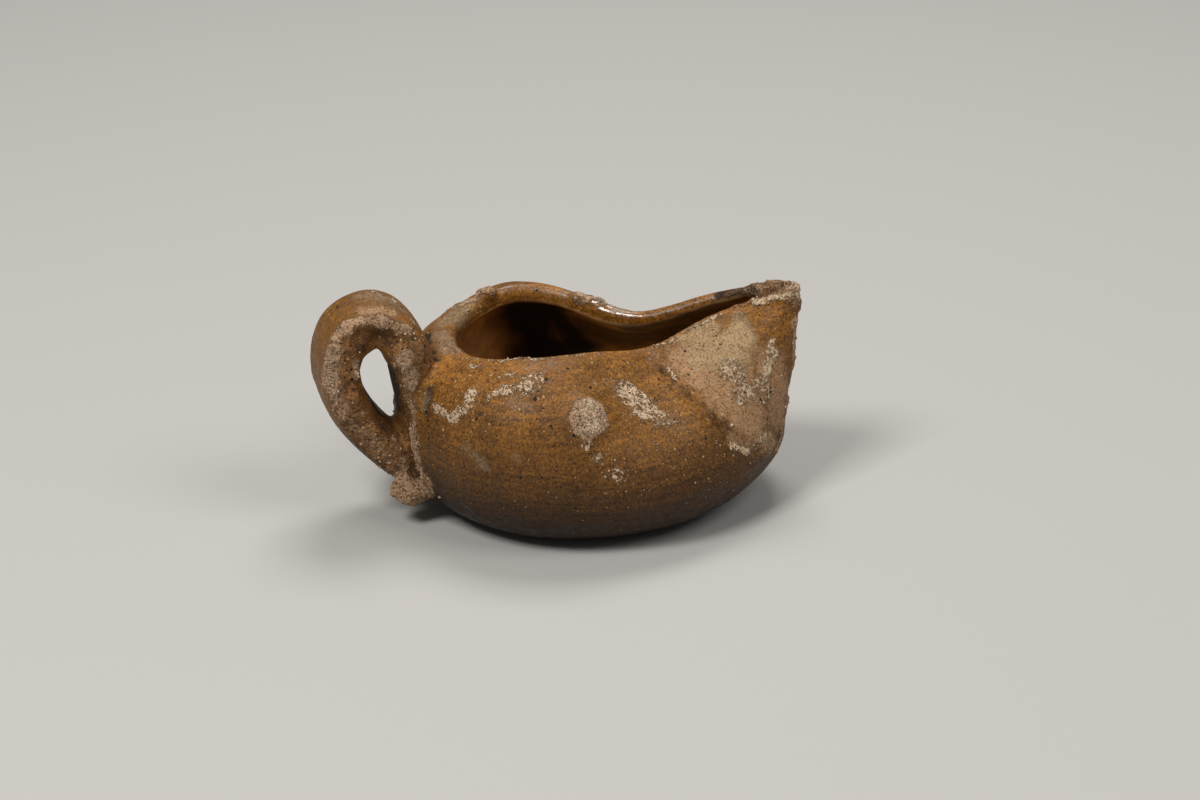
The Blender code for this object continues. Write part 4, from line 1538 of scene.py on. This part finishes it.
            # the tint follows another channel than the cover, so that grains show inside the patch
            own = add_node(tree, "ShaderNodeSeparateColor", inputs={0: grain.outputs["Color"]})
            tint = spread(tree, own.outputs[1], 0.37, 0.52)
            lift = calc(tree, "MULTIPLY", own.outputs[1], deposit.relief)
            coat.lay(where, mixed(tree, tint, deposit.low, deposit.high), deposit.rough, lift)

    def specks(self, coat: CoatBuilder) -> None:
        """Add the iron specks, and the pale flecks of lime where dust lies."""
        tree = coat.tree
        for speck in SPECKS:
            shift = (speck.pitch * 7, speck.pitch * 3, speck.share * 90)
            moved = add_node(tree, "ShaderNodeVectorMath", {"operation": "ADD"}, {0: coat.mm, 1: shift})
            cells = add_node(tree, "ShaderNodeTexVoronoi", inputs={
                "Vector": moved.outputs[0], "Scale": 1 / speck.pitch})
            luck = add_node(tree, "ShaderNodeSeparateColor", inputs={0: cells.outputs["Color"]})
            bar = calc(tree, "MULTIPLY_ADD", coat.traces[DUST], -speck.dust, 1.0 - speck.share)
            size = spread(tree, luck.outputs[0], bar, 1.0, 0.0, speck.largest)
            spot = spread(tree, calc(tree, "SUBTRACT", size, cells.outputs["Distance"]), 0.0, 0.04)
            coat.lay(spot, linear(speck.colour), 0.6)

    def inside(self, coat: CoatBuilder) -> None:
        """Lay the inside's glaze, lightened as painted light and stained in clouds 9 mm wide, and its soot
        and painted shade.
        """
        cloud = noise_texture(coat.tree, coat.mm, 9.0, 5.0, 0.65)
        stain = spread(coat.tree, cloud.outputs["Fac"], 0.38, 0.6)
        coat.lay(coat.traces[CAVITY], mixed(coat.tree, stain, self.lit_cavity_deep, self.cavity), 0.6)
        coat.lay(coat.traces[SMOKE], linear(self.soot_and_shade), 0.8)


@dataclass(frozen=True)
class LimeGrit:
    """Grains of lime and baked earth from the burial: chalky, off-white to brown, no shine."""

    white: str = "#d2b592"
    earth: str = "#654529"
    patch: float = 0.0015
    roughness: float = 0.95

    def material(self) -> Material:
        """Return the grit's material, toned by patches about 1.5 mm wide."""
        material = make_material("chalky_lime_grit")
        tree = material.node_tree
        place = add_node(tree, "ShaderNodeTexCoord")
        patches = noise_texture(tree, place.outputs["Object"], self.patch, 3.0)
        tone = spread(tree, patches.outputs["Fac"], 0.35, 0.6)
        shade(tree, {"Base Color": mixed(tree, tone, self.earth, self.white),
                     "Roughness": self.roughness})
        return material


@dataclass(frozen=True)
class SoftLight:
    """A square soft light: where it hangs, its side in metres and its power in watts."""

    name: str
    place: Point
    size: float
    watts: float


@dataclass
class Studio:
    """A plain pale floor, soft lights and the camera at the object's viewing angle."""

    floor_colour: str = "#bdbab4"
    floor_size: float = 8.0
    lights: tuple[SoftLight, ...] = (
        SoftLight("key", (-0.50, -0.50, 0.90), 0.35, 7.8),
        SoftLight("fill", (0.60, -0.45, 0.85), 0.5, 3.3),
        SoftLight("top", (0.10, 0.40, 0.90), 0.4, 4.6),
    )
    aim: Point = (0.0, 0.0, 0.02)
    air_colour: str = "#e8e8ea"
    air: float = 0.15
    camera_place: Point = (-0.0750, -0.7250, 0.3305)
    elevation: float = math.radians(22.891)
    yaw: float = math.radians(6.325)
    lens: float = 101.52
    sensor: float = 36.0

    def floor(self) -> Object:
        """Make the floor, with its matt paper material."""
        bm = bmesh.new()
        bmesh.ops.create_grid(bm, x_segments=8, y_segments=8, size=self.floor_size / 2)
        mesh = bpy.data.meshes.new("floor")
        bm.to_mesh(mesh)
        bm.free()
        material = make_material("matt_backdrop_paper")
        shade(material.node_tree, {
            "Base Color": linear(self.floor_colour), "Roughness": 0.9, "Specular IOR Level": 0.2})
        mesh.materials.append(material)
        return make_object("floor", mesh)

    def light(self, light: SoftLight) -> None:
        """Hang one soft light, pointed at the object."""
        lamp = bpy.data.lights.new(light.name, "AREA")
        lamp.shape, lamp.size, lamp.energy = "SQUARE", light.size, light.watts
        obj = make_object(light.name, lamp)
        obj.location = light.place
        obj.rotation_euler = (Vector(self.aim) - Vector(light.place)).to_track_quat("-Z", "Y").to_euler()

    def camera(self) -> None:
        """Add the camera and make it the scene's."""
        lens = bpy.data.cameras.new("camera")
        lens.lens, lens.sensor_width = self.lens, self.sensor
        obj = make_object("camera", lens)
        sin_e, cos_e = math.sin(self.elevation), math.cos(self.elevation)
        sin_w, cos_w = math.sin(self.yaw), math.cos(self.yaw)
        right = Vector((cos_w, -sin_w, 0.0))
        up = Vector((sin_w * sin_e, cos_w * sin_e, cos_e))
        turn = Matrix((right, up, right.cross(up))).transposed().to_4x4()
        obj.matrix_world = Matrix.Translation(self.camera_place) @ turn
        bpy.context.scene.camera = obj

    def build(self) -> Object:
        """Set the whole stage and return the floor."""
        floor = self.floor()
        for light in self.lights:
            self.light(light)
        bpy.context.scene.view_settings.view_transform = "Standard"
        world = bpy.data.worlds.new("air")
        world.use_nodes = True
        sky = world.node_tree.nodes["Background"]
        sky.inputs["Color"].default_value = linear(self.air_colour)
        sky.inputs["Strength"].default_value = self.air
        bpy.context.scene.world = world
        self.camera()
        return floor


def main() -> None:
    """Build the lamp and its stage, in order."""
    logging.basicConfig(level=logging.INFO, format="%(name)s %(message)s")
    Studio().build()
    LOG.info("studio: floor, lights and camera")
    bowl = BowlForm()
    body = LampBody(bowl, StrapForm(bowl), Weathering()).build(LeadGlaze().material())
    grit = GritCoat().build(body, LimeGrit().material())
    for piece in (body, grit):
        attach(piece, "root")
    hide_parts("lamp")


if __name__ == "__main__":
    main()
